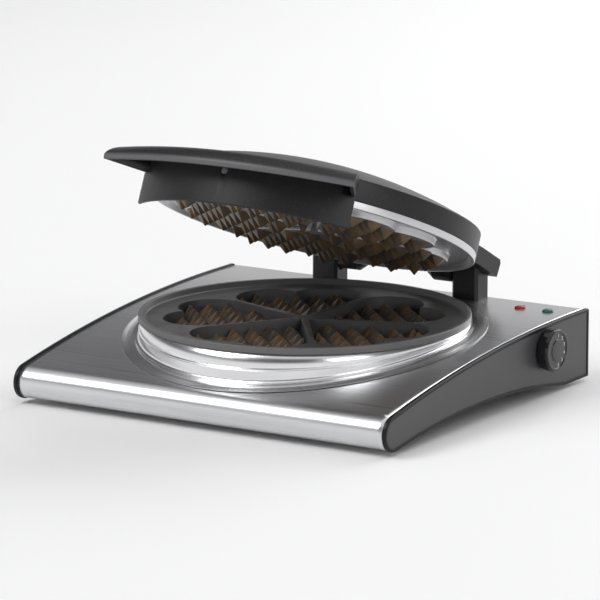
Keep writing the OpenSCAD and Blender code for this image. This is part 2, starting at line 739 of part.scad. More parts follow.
module base_wiring() {
  block = [gland_x + 28.2, rear_y - 46, tray_top + 7];
  low = tray_top + 1.4;
  tab = [therm_x - tab_len - wire_r - 0.2, knob_y, axis_z - 3.6];
  color([0.75, 0.2, 0.15]) place() {
    wire([block, [-60, rear_y - 52, low + 2], [-20, plate_y + heater_ring + 13, low],
      [-9.8, plate_y + heater_ring + terminal_r + 0.3, low + 10]], wire_r);
    wire([block + [0, 9, 0], [-62, rear_y - 39, low], [-20, rear_y - 41, low],
      [95, rear_y - 44, low], tab + [0, 8, 0]], wire_r);
    wire([block + [0, 18, 0], [-66, rear_y - 28, low + 7.6],
      [-post_x, post_mid - riser_d, low + 7.6], [-post_x, post_mid - riser_d, bracket_z - 0.3]],
      wire_r);
    wire([tab - [0, 8, 0], [80, 60, low], [30, 64, low],
      [11.2, plate_y + heater_ring + 2.9, low + 10]], wire_r);
  }
}

module tray_screws() {
  color(steel) place() for (s = [-1, 1]) for (y = [-tray_screw_y, 0, tray_screw_y])
    translate([s * (tab_x - 3), y, tray_top + 6]) rotate([0, s * 90, 0])
      screw(small_screw_r - 0.02, 12);
}

// Places of the two screws under one post
module at_post_screws(s) {
  for (t = [-1, 1]) translate([s * post_x + t * (post_w / 2 - 2.1), post_front + 2.6, 0]) children();
}

module hinge_bracket() {
  color(steel) place() difference() {
    translate([-post_out - 8, post_front - 2, bracket_z]) cube([2 * post_out + 16,
      tray_rear - tray_t - post_front + 1.5, bracket_t]);
    for (s = [-1, 1]) {
      translate([s * post_x - riser_w / 2 - guide_gap, post_mid - riser_d / 2 - guide_gap,
        bracket_z - 1]) cube([riser_w + 2 * guide_gap, riser_d + 2 * guide_gap, 5]);
      at_post_screws(s) translate([0, 0, bracket_z - 1])
        cylinder(h = 5, r = small_screw_r + hole_gap, $fn = small_fn);
    }
  }
}

// Outline of a rectangle with its four corners cut off by c
function chamfered(w, d, c) = [for (q = [[1, -1], [1, 1], [-1, 1], [-1, -1]])
  each let(a = [q[0] * (w / 2 - c), q[1] * d / 2], b = [q[0] * w / 2, q[1] * (d / 2 - c)])
    q[0] * q[1] < 0 ? [a, b] : [b, a]];

// A hollow post that guides a riser, slotted on its inner side for the pin
module post(s) {
  color(black) place() difference() {
    translate([s * post_x, post_mid, sheet_top + 0.02]) linear_extrude(post_top - sheet_top)
      polygon(chamfered(post_w, post_d, post_edge));
    translate([s * post_x - riser_w / 2 - guide_gap, post_mid - riser_d / 2 - guide_gap, top_z - 5])
      cube([riser_w + 2 * guide_gap, riser_d + 2 * guide_gap, post_top - top_z - post_cap + 5]);
    translate([s * (post_in + 3) - 4.5, hinge_y - pin_r - guide_gap, hinge_low - pin_r - guide_gap])
      cube([9, 2 * (pin_r + guide_gap), lift_max + 2 * (pin_r + guide_gap)]);
    at_post_screws(s) translate([0, 0, sheet_top - 1])
      cylinder(h = 15, r = small_screw_r, $fn = small_fn);
  }
}

module post_screws() {
  color(steel) place() for (s = [-1, 1]) at_post_screws(s) translate([0, 0, bracket_z])
    screw(small_screw_r - 0.02, 14);
}

module riser(s) {
  color(dark) place() difference() {
    translate([s * post_x - riser_w / 2, post_mid - riser_d / 2, bar_z + bar_h])
      cube([riser_w, riser_d, hinge_z + pin_r + 1.5 - bar_z - bar_h]);
    translate([s * post_x, hinge_y, hinge_z]) rotate([0, 90, 0])
      cylinder(h = riser_w + 2, r = pin_r + 0.02, center = true, $fn = round_fn);
    translate([s * post_x, post_mid, bar_z + bar_h - 1])
      cylinder(h = 13, r = big_screw_r, $fn = small_fn);
  }
}

module riser_crossbar() {
  half = post_x + riser_w / 2;
  color(steel) place() difference() {
    translate([-half, post_mid - riser_d / 2, bar_z]) cube([2 * half, riser_d, bar_h]);
    for (s = [-1, 1]) translate([s * post_x, post_mid, bar_z - 1])
      cylinder(h = bar_h + 2, r = big_screw_r + hole_gap, $fn = small_fn);
  }
}

module riser_screws() {
  color(steel) place() for (s = [-1, 1]) translate([s * post_x, post_mid, bar_z])
    screw(big_screw_r - 0.02, bar_h + 10);
}

module hinge_pin(s) {
  inner = knuckle_in + 1;
  outer = post_x + riser_w / 2;
  color(steel) place() translate([s * (inner + outer) / 2, hinge_y, hinge_z]) rotate([0, 90, 0])
    cylinder(h = outer - inner, r = pin_r, center = true, $fn = round_fn);
}

module lid_cover() {
  wall_r = cover_r - cover_t;
  screw_z = (leg_low + leg_high) / 2;
  color(black) in_lid() difference() {
    union() {
      difference() {
        rotate_extrude($fn = fine) union() {
          translate([0, cover_low]) square([cover_r, ridge_h - cover_low]);
          intersection() {
            translate([0, cover_top - dome_r]) circle(dome_r, $fn = 720);
            translate([0, ridge_h - 1]) square([cover_r, dome_rise + 2]);
          }
        }
        rotate_extrude($fn = fine) union() {
          translate([0, 0]) square([wall_r, ridge_h - cover_t]);
          intersection() {
            translate([0, cover_top - dome_r]) circle(dome_r - cover_t, $fn = 720);
            translate([0, ridge_h - cover_t - 1]) square([wall_r, dome_rise + 2]);
          }
        }
      }
      intersection() {
        at_plate_screws(plate_screws_r) translate([0, 0, upper_reflector_z + reflector_t + slip])
          cylinder(h = cover_top, r = 6, $fn = small_fn);
        rotate_extrude($fn = fine) intersection() {
          translate([0, cover_top - dome_r]) circle(dome_r - cover_t / 2, $fn = 720);
          square([wall_r, cover_top]);
        }
      }
    }
    at_plate_screws(plate_screws_r) translate([0, 0, upper_reflector_z])
      cylinder(h = 8, r = big_screw_r, $fn = small_fn);
    for (s = [-1, 1]) {
      rotate(-90 + s * handle_screw_angle) translate([wall_r - 1, 0, ridge_h - 6]) rotate([0, 90, 0])
        cylinder(h = cover_t + 2, r = small_screw_r + hole_gap, $fn = small_fn);
      for (a = arm_screw_angles) rotate(90 - s * (90 - a)) translate([wall_r - 1, 0, screw_z])
        rotate([0, 90, 0]) cylinder(h = cover_t + 2, r = small_screw_r + hole_gap, $fn = small_fn);
    }
  }
}

// One arm: an outer leg, an inner leg with the knuckle, and a bridge in front of the post
module lid_arm(s) {
  far = hinge_reach + 7.4;
  screw_z = (leg_low + leg_high) / 2;
  color(black) in_lid() mirror([s < 0 ? 1 : 0, 0, 0]) difference() {
    union() {
      across(leg_out, leg_out + leg_t) polygon([[leg_front, leg_low + 2.4], [leg_front, leg_high + 1.5],
        [far - 30, leg_high + 1], [far - 1.8, leg_high - 0.6], [far, leg_high - 3.2],
        [far - 1.2, leg_low - 0.2], [far - 30, leg_low + 1.6]]);
      across(knuckle_in, leg_out + leg_t) polygon([[leg_front, leg_low + 1.6], [leg_front, leg_high],
        [bridge_back, leg_high], [bridge_back, leg_low + 1.6]]);
      across(knuckle_in, leg_in) polygon([[leg_front + 20, leg_low + 1.6], [leg_front + 20, leg_high],
        [hinge_reach - 8, leg_high], [hinge_reach + knuckle_r * 0.7, hinge_up + knuckle_r * 0.7],
        [hinge_reach, hinge_up], [hinge_reach - knuckle_r * 0.94, hinge_up - knuckle_r * 0.3]]);
      translate([knuckle_in, hinge_reach, hinge_up]) rotate([0, 90, 0])
        cylinder(h = leg_in - knuckle_in, r = knuckle_r, $fn = round_fn);
      translate([knuckle_in - knuckle_tip, hinge_reach, hinge_up]) rotate([0, 90, 0])
        cylinder(h = knuckle_tip + 0.01, r1 = knuckle_r * 0.5, r2 = knuckle_r, $fn = round_fn);
    }
    translate([0, 0, -10]) cylinder(h = 60, r = cover_r + arm_gap, $fn = fine);
    translate([knuckle_in, hinge_reach, hinge_up]) rotate([0, 90, 0])
      cylinder(h = 40, r = pin_r + pin_clear, $fn = round_fn);
    for (a = arm_screw_angles) rotate(a) translate([cover_r - 1, 0, screw_z]) rotate([0, 90, 0])
      cylinder(h = 9, r = small_screw_r, $fn = small_fn);
  }
}

module lid_arm_screws() {
  screw_z = (leg_low + leg_high) / 2;
  color(steel) in_lid() for (s = [-1, 1]) for (a = arm_screw_angles) rotate(90 - s * (90 - a))
    translate([cover_r - cover_t - slip, 0, screw_z]) rotate([0, 90, 0]) screw(small_screw_r - 0.02, 9);
}

module handle_shell() {
  n = 2 * (visor_m + 1);
  k = visor_n + 1;
  points = [for (i = [0:visor_n]) each visor_section(2 * i / visor_n - 1)];
  caps = [for (j = [0:n / 2 - 2]) for (f = [[j, j + 1, n - 1 - j], [j + 1, n - 2 - j, n - 1 - j]]) f];
  color(black) in_lid() polyhedron(points = points, faces = concat(ring_faces(n, k, false),
    [for (f = caps) [f[0], f[1], f[2]]],
    [for (f = caps) [f[2] + (k - 1) * n, f[1] + (k - 1) * n, f[0] + (k - 1) * n]]));
}

// The skirt: a wall as wide as the visor below it, and a narrower one up into its hollow,
// with a boss behind each of its three screws
module handle_skirt() {
  lower_top = visor_low - 0.2;
  upper_top = visor_top - visor_t - 0.6;
  upper_half = visor_back_half - 5;
  boss_reach = skirt_r - 1 - visor_back_r;
  color(black) in_lid() difference() {
    union() {
      rotate(-90 - skirt_half) rotate_extrude(angle = 2 * skirt_half, $fn = fine)
        polygon([[skirt_r - skirt_t, -skirt_drop + 1], [skirt_r - skirt_t + 0.6, -skirt_drop],
          [skirt_r - 0.6, -skirt_drop], [skirt_r, -skirt_drop + 0.8], [skirt_r, lower_top],
          [skirt_r - skirt_t, lower_top]]);
      rotate(-90 - upper_half) rotate_extrude(angle = 2 * upper_half, $fn = fine)
        translate([skirt_r - skirt_t + 0.2, lower_top - 2])
          square([skirt_t - 0.5, upper_top - lower_top + 2]);
      for (s = [-1, 1]) rotate(-90 + s * handle_screw_angle)
        translate([visor_back_r, -5, ridge_h - 11]) cube([boss_reach, 10, 8]);
      rotate(-90) translate([visor_back_r, 0, front_screw_z]) rotate([0, 90, 0])
        cylinder(h = boss_reach, r = front_recess_r + 1.5, $fn = small_fn);
    }
    for (s = [-1, 1]) rotate(-90 + s * handle_screw_angle) translate([visor_back_r - 1, 0, ridge_h - 6])
      rotate([0, 90, 0]) cylinder(h = 7.5, r = small_screw_r, $fn = small_fn);
    rotate(-90) translate([visor_back_r - 1, 0, front_screw_z]) rotate([0, 90, 0])
      cylinder(h = boss_reach + 2, r = small_screw_r, $fn = small_fn);
    rotate(-90) translate([skirt_r - front_screw_deep, 0, front_screw_z]) rotate([0, 90, 0])
      cylinder(h = front_screw_deep + 1, r = front_recess_r, $fn = small_fn);
  }
}

module handle_screws() {
  color(steel) in_lid() {
    for (s = [-1, 1]) rotate(-90 + s * handle_screw_angle)
      translate([cover_r - cover_t - slip, 0, ridge_h - 6]) rotate([0, 90, 0])
        screw(small_screw_r - 0.02, 8);
    rotate(-90) translate([skirt_r - front_screw_deep + slip, 0, front_screw_z]) rotate([0, -90, 0])
      screw(small_screw_r - 0.02, 6);
  }
}

module upper_plate() {
  body = casting_r - 1.5;
  color(aluminium) in_lid() difference() {
    union() {
      rotate_extrude($fn = fine) polygon([[0, upper_drop], [plate_r - rim_w - 3, upper_drop],
        [plate_r - rim_w, 0], [plate_r - 0.8, 0], [plate_r - 0.3, 0.5], [plate_r - 0.3, band_h],
        [body, band_h], [body, upper_casting - 1], [body - 1, upper_casting], [0, upper_casting]]);
      translate([0, 0, -heart_proud]) linear_extrude(heart_proud + upper_drop + 1) rosette();
      translate([0, 0, -heart_proud + 0.01]) mirror([0, 0, 1]) pyramids(0.5);
      at_plate_screws(plate_screws_r) translate([0, 0, upper_casting - 1])
        cylinder(h = upper_reflector_z - upper_casting + 1, r = 6, $fn = small_fn);
    }
    at_plate_screws(plate_screws_r) {
      translate([0, 0, -20]) cylinder(h = 60, r = big_screw_r + hole_gap, $fn = small_fn);
      translate([0, 0, -20]) cylinder(h = 20 + upper_drop + 2, r = 4.4, $fn = small_fn);
    }
  }
}

module upper_heater() {
  color([0.35, 0.35, 0.36]) in_lid() translate([0, 0, upper_casting + heater_r + slip / 2])
    mirror([0, 0, 1]) heater();
}

module upper_reflector() {
  edge = cover_r - cover_t - 9;
  color(steel) in_lid() translate([0, 0, upper_reflector_z]) difference() {
    rotate_extrude($fn = fine) polygon([[20, 0], [edge, 0], [edge, reflector_t], [20, reflector_t]]);
    translate([0, heater_ring, 0]) cube([30, 12, 6], center = true);
    at_plate_screws(plate_screws_r) translate([0, 0, -1])
      cylinder(h = 4, r = big_screw_r + hole_gap, $fn = small_fn);
  }
}

module upper_plate_screws() {
  color(steel) in_lid() at_plate_screws(plate_screws_r) translate([0, 0, upper_drop + 2])
    screw(big_screw_r - 0.02, upper_reflector_z + 5 - upper_drop);
}

module thermal_fuse() {
  color([0.85, 0.85, 0.8]) in_lid() translate([-30, 20, upper_reflector_z + reflector_t]) {
    cube([26, 9, 1.2]);
    translate([3, 4.5, 4]) rotate([0, 90, 0]) cylinder(h = 20, r = 3, $fn = small_fn);
  }
}

module lid_wiring() {
  high = upper_reflector_z + reflector_t + 2.5;
  color([0.75, 0.2, 0.15]) in_lid() {
    wire([[-28.4, 24.5, high + 1], [-40, 50, high], [-12, heater_ring + 12, high],
      [-9.8, heater_ring + terminal_r, high + 4]], wire_r);
    wire([[-5.6, 24.5, high + 1], [0, 50, high], [9.2, heater_ring - terminal_r - 1.3, high + 4]],
      wire_r);
  }
}

top_shell();
plate_collar();
left_cheek();
right_cheek();
base_tray();
foot(0);  // foot_front_left
foot(1);  // foot_front_right
foot(2);  // foot_rear_left
foot(3);  // foot_rear_right
lower_plate();
lower_heater();
lower_reflector();
lower_plate_screws();
thermostat();
thermostat_nut();
thermostat_shaft();
knob();
lamp(red_lamp_side, [0.75, 0.08, 0.08]);  // red_lamp
lamp(green_lamp_side, [0.1, 0.5, 0.25]);  // green_lamp
lamp_clips();
terminal_block();
cord_gland();
base_wiring();
tray_screws();
hinge_bracket();
post(-1);  // left_post
post(1);  // right_post
post_screws();
riser(-1);  // left_riser
riser(1);  // right_riser
riser_crossbar();
riser_screws();
hinge_pin(-1);  // left_hinge_pin
hinge_pin(1);  // right_hinge_pin
lid_cover();
lid_arm(-1);  // left_lid_arm
lid_arm(1);  // right_lid_arm
lid_arm_screws();
handle_shell();
handle_skirt();
handle_screws();
upper_plate();
upper_heater();
upper_reflector();
upper_plate_screws();
thermal_fuse();
lid_wiring();
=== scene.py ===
import json
import math
import bmesh
import bpy
import numpy as np
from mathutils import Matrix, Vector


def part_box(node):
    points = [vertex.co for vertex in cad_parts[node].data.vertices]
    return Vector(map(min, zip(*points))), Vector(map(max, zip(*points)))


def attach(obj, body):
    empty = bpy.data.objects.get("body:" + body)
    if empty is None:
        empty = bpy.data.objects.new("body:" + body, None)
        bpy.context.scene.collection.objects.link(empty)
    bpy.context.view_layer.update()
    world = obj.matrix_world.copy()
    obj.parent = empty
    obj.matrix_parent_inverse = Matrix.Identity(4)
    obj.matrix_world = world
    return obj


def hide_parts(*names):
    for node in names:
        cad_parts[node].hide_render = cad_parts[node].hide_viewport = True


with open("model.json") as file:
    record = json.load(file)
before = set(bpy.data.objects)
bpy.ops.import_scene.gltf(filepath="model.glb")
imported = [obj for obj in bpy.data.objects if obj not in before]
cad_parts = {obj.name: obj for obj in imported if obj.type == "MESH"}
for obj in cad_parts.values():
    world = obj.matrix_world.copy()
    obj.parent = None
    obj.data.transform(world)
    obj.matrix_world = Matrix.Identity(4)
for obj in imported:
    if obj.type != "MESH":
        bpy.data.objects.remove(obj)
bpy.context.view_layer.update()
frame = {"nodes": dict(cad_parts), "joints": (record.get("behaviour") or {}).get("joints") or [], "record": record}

scene = bpy.context.scene
scene.view_settings.view_transform = "Standard"
joints = {j["name"]: j for j in frame["joints"]}
nodes = frame["nodes"]


# the object's own measures, in millimetres, as the solids have them
def boxMm(node):
    low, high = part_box(node)
    return np.array(low) * 1000, np.array(high) * 1000


plateLow, plateHigh = boxMm("lower_plate")
plateX, plateY = (plateLow[:2] + plateHigh[:2]) / 2
rimTop = plateHigh[2]
shellLow, shellHigh = boxMm("top_shell")
cheekLow, cheekHigh = boxMm("right_cheek")
leftLow, leftHigh = boxMm("left_cheek")
midX = (leftLow[0] + cheekHigh[0]) / 2
frontY, rearY, bodyTop, bodyLow = cheekLow[1], cheekHigh[1], cheekHigh[2], cheekLow[2]
hingeAt = np.array(joints["lid_hinge"]["pos_m"]) * 1000
restAngle = math.radians(-joints["lid_hinge"]["range_deg"][0])

body = {
    "noseRadius": 12.7, "crownRadius": 1300.0, "cheekThick": 3.0,
    "proud": 0.8, "sheetThick": 0.8, "archRise": 9.5, "rearFoot": 35.0, "lipHeight": 12.0,
}
lid = {"reach": 131.0, "up": 5.8}

# the nose's centre, and the crown's centre, from which the long curve of the top is struck
noseY, noseZ = frontY + body["noseRadius"], bodyLow + body["noseRadius"]
crownZ = bodyTop - body["crownRadius"]
crownY = noseY + math.sqrt((body["crownRadius"] - body["noseRadius"]) ** 2 - (noseZ - crownZ) ** 2)


# height of the cheek's upper edge at y, less an inset: an arc that ends in a level stretch
def topAt(y, inset=0.0):
    run = np.minimum(y, crownY) - crownY
    return crownZ + np.sqrt((body["crownRadius"] - inset) ** 2 - run ** 2)


# a point of the shut lid, in the lid's own millimetres, at the lid's angle at rest
def lidToRow(points):
    p = np.asarray(points, float)
    y, z = p[..., 1] - lid["reach"], p[..., 2] - lid["up"]
    c, s = math.cos(restAngle), math.sin(restAngle)
    return np.stack([p[..., 0] + midX, hingeAt[1] + y * c + z * s, hingeAt[2] - y * s + z * c], -1)


cameraSet = {
    "place": (1755.1, -2817.1, 775.5), "azimuth": 32.07, "elevation": 12.03,
    "focal": 4723.94, "frame": 600.0, "sensor": 36.0,
}
cameraData = bpy.data.cameras.new("camera")
camera = bpy.data.objects.new("camera", cameraData)
scene.collection.objects.link(camera)
camera.location = [v / 1000 for v in cameraSet["place"]]
camera.rotation_euler = (
    math.radians(90 - cameraSet["elevation"]), 0, math.radians(cameraSet["azimuth"]))
cameraData.sensor_width = cameraSet["sensor"]
cameraData.lens = cameraSet["focal"] / cameraSet["frame"] * cameraSet["sensor"]
cameraData.clip_start, cameraData.clip_end = 0.1, 60
scene.camera = camera


# a socket that takes part in expressions: each operator adds the Math node for it
class Wire:
    def __init__(self, paint, socket):
        self.paint, self.socket = paint, socket

    def maths(self, operation, *values):
        return self.paint.node("ShaderNodeMath", {"operation": operation}, values)

    def __add__(self, other):
        return self.maths("ADD", self, other)

    def __sub__(self, other):
        return self.maths("SUBTRACT", self, other)

    def __rsub__(self, other):
        return self.maths("SUBTRACT", other, self)

    def __mul__(self, other):
        return self.maths("MULTIPLY", self, other)

    def __truediv__(self, other):
        return self.maths("DIVIDE", self, other)

    def __pow__(self, other):
        return self.maths("POWER", self, other)

    __radd__, __rmul__ = __add__, __mul__

    # 0 below low, 1 above high, smooth between
    def step(self, low, high):
        return self.paint.node("ShaderNodeMapRange", {"interpolation_type": "SMOOTHSTEP"},
                               {0: self, 1: low, 2: high, 3: 0.0, 4: 1.0})


# a node tree of a material or of the world, to which nodes are added by one method
class Paint:
    def __init__(self, owner):
        owner.use_nodes = True
        self.owner, self.tree = owner, owner.node_tree

    def node(self, kind, settings=None, values=(), output=0):
        made = self.tree.nodes.new(kind)
        for key, setting in (settings or {}).items():
            setattr(made, key, setting)
        for key, value in (values.items() if isinstance(values, dict) else enumerate(values)):
            if isinstance(value, Wire):
                self.tree.links.new(value.socket, made.inputs[key])
            else:
                made.inputs[key].default_value = value
        return Wire(self, made.outputs[output])

    def link(self, wire, node, key):
        self.tree.links.new(wire.socket, node.inputs[key])

    def mix(self, factor, first, second):
        return self.node("ShaderNodeMix", {"data_type": "RGBA"},
                         {0: factor, 6: self.color(first), 7: self.color(second)}, 2)

    def color(self, value):
        return value if isinstance(value, Wire) else (*value, 1.0)

    # the place on the piece, in metres, stretched along each way
    def place(self, stretch=(1, 1, 1), turn=(0, 0, 0), move=(0, 0, 0)):
        where = self.node("ShaderNodeTexCoord", output="Object")
        return self.node("ShaderNodeMapping", {}, {
            "Vector": where, "Location": move, "Rotation": turn, "Scale": stretch})

    def noise(self, scale, detail=2.0, stretch=(1, 1, 1), where=None):
        return self.node("ShaderNodeTexNoise", {}, {
            "Vector": where or self.place(stretch), "Scale": scale, "Detail": detail})


# a finish: fixed values go straight to the shader's sockets, and wires are linked to them;
# an underscore in a key stands for the space in the socket's name
def makeFinish(name, build, **fixed):
    paint = Paint(bpy.data.materials.new(name))
    shader = paint.tree.nodes["Principled BSDF"]
    for key, value in fixed.items():
        shader.inputs[key.replace("_", " ")].default_value = value
    for key, value in build(paint).items():
        target = shader.inputs[key.replace("_", " ")]
        if isinstance(value, Wire):
            paint.tree.links.new(value.socket, target)
        else:
            target.default_value = value
    return paint.owner


def bump(paint, height, strength, distance):
    return paint.node("ShaderNodeBump", {}, {
        "Strength": strength, "Distance": distance, "Height": height})


# a place's distance from the vertical line through the lower plate's middle, in metres
def spunRadius(paint):
    where = paint.place(move=(-plateX / 1000, -plateY / 1000, 0))
    parts = paint.node("ShaderNodeSeparateXYZ", {}, [where])
    x, y = (Wire(paint, parts.socket.node.outputs[i]) for i in (0, 1))
    return (x * x + y * y) ** 0.5


# steel with fine brush lines along X: long thin streaks in the colour, the gloss and the bump
def brushedSteel(paint):
    streaks = paint.noise(1.0, 4.0, (9, 2600, 2600))
    broad = paint.noise(1.0, 2.0, (3, 260, 260))
    smears = paint.noise(14.0, 3.0, (0.5, 1, 1))
    return {
        "Base_Color": paint.mix(streaks, (0.60, 0.605, 0.615), (0.80, 0.80, 0.81)),
        "Roughness": 0.17 + 0.16 * streaks + 0.05 * broad + 0.05 * smears,
        "Normal": bump(paint, streaks + 0.5 * broad, 0.12, 0.00008),
    }


# spun and polished steel: rings round the drum, faint cloudy wipe marks
def spunSteel(paint):
    radius = spunRadius(paint)
    lift = Wire(paint, paint.node("ShaderNodeSeparateXYZ", {}, [paint.place()]).socket.node.outputs[2])
    rings = paint.node("ShaderNodeTexNoise", {"noise_dimensions": "1D"},
                       {"W": radius + lift, "Scale": 2600.0, "Detail": 3.0})
    clouds = paint.noise(28.0, 3.0)
    return {
        "Base_Color": paint.mix(clouds, (0.78, 0.78, 0.79), (0.86, 0.86, 0.87)),
        "Roughness": 0.15 + 0.10 * rings + 0.07 * clouds,
        "Normal": bump(paint, rings, 0.06, 0.00006),
    }


# moulded plastic with a fine spark-eroded grain
def grainedPlastic(low, high, gloss, scale=1700.0, depth=0.00006, strength=0.35):
    def build(paint):
        grain = paint.noise(scale, 2.0)
        soft = paint.noise(22.0, 3.0)
        specks = grain.step(0.55, 0.75)
        return {
            "Base_Color": paint.mix(specks * 0.7 + soft * 0.3, low, high),
            "Roughness": gloss + 0.14 * soft + 0.10 * specks - 0.08,
            "Normal": bump(paint, grain, strength, depth),
        }
    return build


# the visor's plastic: a painted sheen band above its lower edge, where the rounded edge catches the light, and a
# painted highlight line along its rear edge; height and radius are taken in the lid's frame, y' = Y c - Z s and z'
# = Y s + Z c
paintedSheen = {
    "bandFoot": (0.0064, 0.0072), "bandTop": (0.0088, 0.0125), "seamFoot": (0.017, 0.019),
    "seamReach": (0.1207, 0.1212),
}


def visorPlastic(paint):
    parts = paint.node("ShaderNodeSeparateXYZ", {}, [paint.place()])
    x, y, z = (Wire(paint, parts.socket.node.outputs[i]) for i in range(3))
    y, z = y - hingeAt[1] / 1000, z - hingeAt[2] / 1000
    c, s = math.cos(restAngle), math.sin(restAngle)
    across, back = x - midX / 1000, y * c - z * s + lid["reach"] / 1000
    lift = y * s + z * c + lid["up"] / 1000
    away = (across * across + back * back) ** 0.5
    # painted highlights: a sheen band above the lower edge and a light line along the rear edge, both lighter
    # colour standing in for light
    band = lift.step(*paintedSheen["bandFoot"]) * (1 - lift.step(*paintedSheen["bandTop"]))
    seamHighlight = lift.step(*paintedSheen["seamFoot"]) * (1 - away.step(*paintedSheen["seamReach"]))
    grain = paint.noise(900.0, 2.0)
    specks = grain.step(0.52, 0.66)
    plain = paint.mix(specks * 0.8 + 0.2 * grain, black, (0.032, 0.032, 0.034))
    return {
        # the painted sheen band and the painted highlight line are mixed into the plastic's colour here
        "Base_Color": paint.mix(seamHighlight, paint.mix(band * 0.75, plain, (0.15, 0.15, 0.155)),
                                (0.30, 0.30, 0.30)),
        "Roughness": 0.42 + 0.08 * specks - 0.10 * band,
        "Normal": bump(paint, grain, 0.35, 0.00006),
    }


def glossPlastic(color, gloss):
    def build(paint):
        wave = paint.noise(90.0, 2.0)
        return {
            "Base_Color": paint.mix(wave, color, tuple(c * 1.35 for c in color)),
            "Roughness": gloss + 0.05 * wave,
            "Normal": bump(paint, wave, 0.05, 0.0002),
        }
    return build


# cast aluminium: cloudy and slightly rough
def bareAluminium(paint):
    cast = paint.noise(420.0, 3.0)
    clouds = paint.noise(25.0, 2.0)
    return {
        "Base_Color": paint.mix(clouds, (0.58, 0.58, 0.59), (0.70, 0.70, 0.71)),
        "Roughness": 0.34 + 0.12 * cast,
        "Normal": bump(paint, cast, 0.12, 0.0001),
    }


# dark non-stick coat, tinted brown in patches, with fine sprayed grain
def coatedPlate(brown, dark, share):
    def build(paint):
        spray = paint.noise(1500.0, 2.0)
        tintPatches = paint.noise(60.0, 4.0).step(0.35, 0.65)
        return {
            "Base_Color": paint.mix(tintPatches * share, dark, brown),
            "Roughness": 0.36 + 0.14 * spray + 0.08 * tintPatches,
            "Normal": bump(paint, spray, 0.25, 0.00005),
        }
    return build


def plainMetal(low, high, gloss):
    def build(paint):
        grain = paint.noise(300.0, 3.0, (1, 1, 6))
        return {
            "Base_Color": paint.mix(grain, low, high),
            "Roughness": gloss + 0.15 * grain,
            "Normal": bump(paint, grain, 0.1, 0.0001),
        }
    return build


black = (0.0075, 0.0075, 0.0082)
finishes = {
    "brushed": makeFinish("brushed steel", brushedSteel, Metallic=1.0),
    "spun": makeFinish("spun steel", spunSteel, Metallic=1.0),
    "shell": makeFinish("satin black", grainedPlastic(black, (0.030, 0.030, 0.032), 0.42, 900.0),
                        Specular_IOR_Level=0.38),
    "visor": makeFinish("visor black", visorPlastic, Specular_IOR_Level=0.38),
    "panel": makeFinish("cheek panel", grainedPlastic(
        (0.052, 0.051, 0.054), (0.066, 0.065, 0.068), 0.42, 2300.0, 0.00003, 0.2)),
    "rim": makeFinish("cheek rim", glossPlastic((0.006, 0.006, 0.007), 0.32), Specular_IOR_Level=0.25),
    "gloss": makeFinish("gloss black", glossPlastic((0.010, 0.010, 0.011), 0.12)),
    "dark": makeFinish("dark plastic", grainedPlastic(
        (0.030, 0.030, 0.032), (0.045, 0.045, 0.048), 0.45)),
    "bare": makeFinish("bare aluminium", bareAluminium, Metallic=0.85),
    "pan": makeFinish("non-stick coat", coatedPlate(
        (0.085, 0.078, 0.070), (0.075, 0.075, 0.077), 0.5), Metallic=0.3),
    "rimCoat": makeFinish("rim coat", coatedPlate(
        (0.165, 0.160, 0.155), (0.145, 0.145, 0.148), 0.5), Metallic=0.4),
    "brownTinted": makeFinish("seasoned coat", coatedPlate(
        (0.155, 0.095, 0.042), (0.075, 0.062, 0.050), 0.9), Metallic=0.35),
    "tube": makeFinish("heater tube", plainMetal((0.16, 0.15, 0.14), (0.26, 0.25, 0.24), 0.4),
                       Metallic=1.0),
    "plated": makeFinish("zinc plate", plainMetal((0.52, 0.52, 0.54), (0.68, 0.68, 0.70), 0.25),
                         Metallic=1.0),
    "rubber": makeFinish("rubber", grainedPlastic(
        (0.022, 0.022, 0.022), (0.035, 0.035, 0.035), 0.75, 900.0)),
    "red": makeFinish("red lens", glossPlastic((0.42, 0.012, 0.016), 0.12), Transmission_Weight=0.2),
    "green": makeFinish("green lens", glossPlastic((0.012, 0.12, 0.075), 0.12),
                        Transmission_Weight=0.2),
    "phenolic": makeFinish("phenolic", grainedPlastic(
        (0.55, 0.50, 0.40), (0.62, 0.57, 0.47), 0.6, 500.0)),
    "wire": makeFinish("wire", grainedPlastic((0.42, 0.06, 0.04), (0.5, 0.08, 0.05), 0.5, 500.0)),
    "print": makeFinish("white print", grainedPlastic(
        (0.78, 0.78, 0.77), (0.86, 0.86, 0.85), 0.5, 900.0)),
}
slotFinish = {
    "brushed_steel": "brushed", "polished_steel": "spun", "black_plastic": "shell",
    "dark_plastic": "dark", "glossy_black": "gloss", "coated_aluminium": "pan",
    "heater_tube": "tube", "plated_steel": "plated", "rubber": "rubber", "red_lens": "red",
    "green_lens": "green", "phenolic": "phenolic", "wire": "wire",
}
nodeSlots = {s["node"]: s["material_slot"] for s in frame["record"]["subparts"]}
for nodeName, nodeObject in nodes.items():
    for holder in nodeObject.material_slots:
        holder.material = finishes[slotFinish[nodeSlots[nodeName]]]
print("finishes made:", len(finishes))


# faces of a grid of rows and columns, either of which may close on itself
def gridFaces(rows, columns, closeRows=False, closeColumns=False):
    r, c = np.meshgrid(np.arange(rows if closeRows else rows - 1),
                       np.arange(columns if closeColumns else columns - 1), indexing="ij")
    below, right = (r + 1) % rows, (c + 1) % columns
    return np.stack([r * columns + c, below * columns + c, below * columns + right,
                     r * columns + right], -1).reshape(-1, 4)


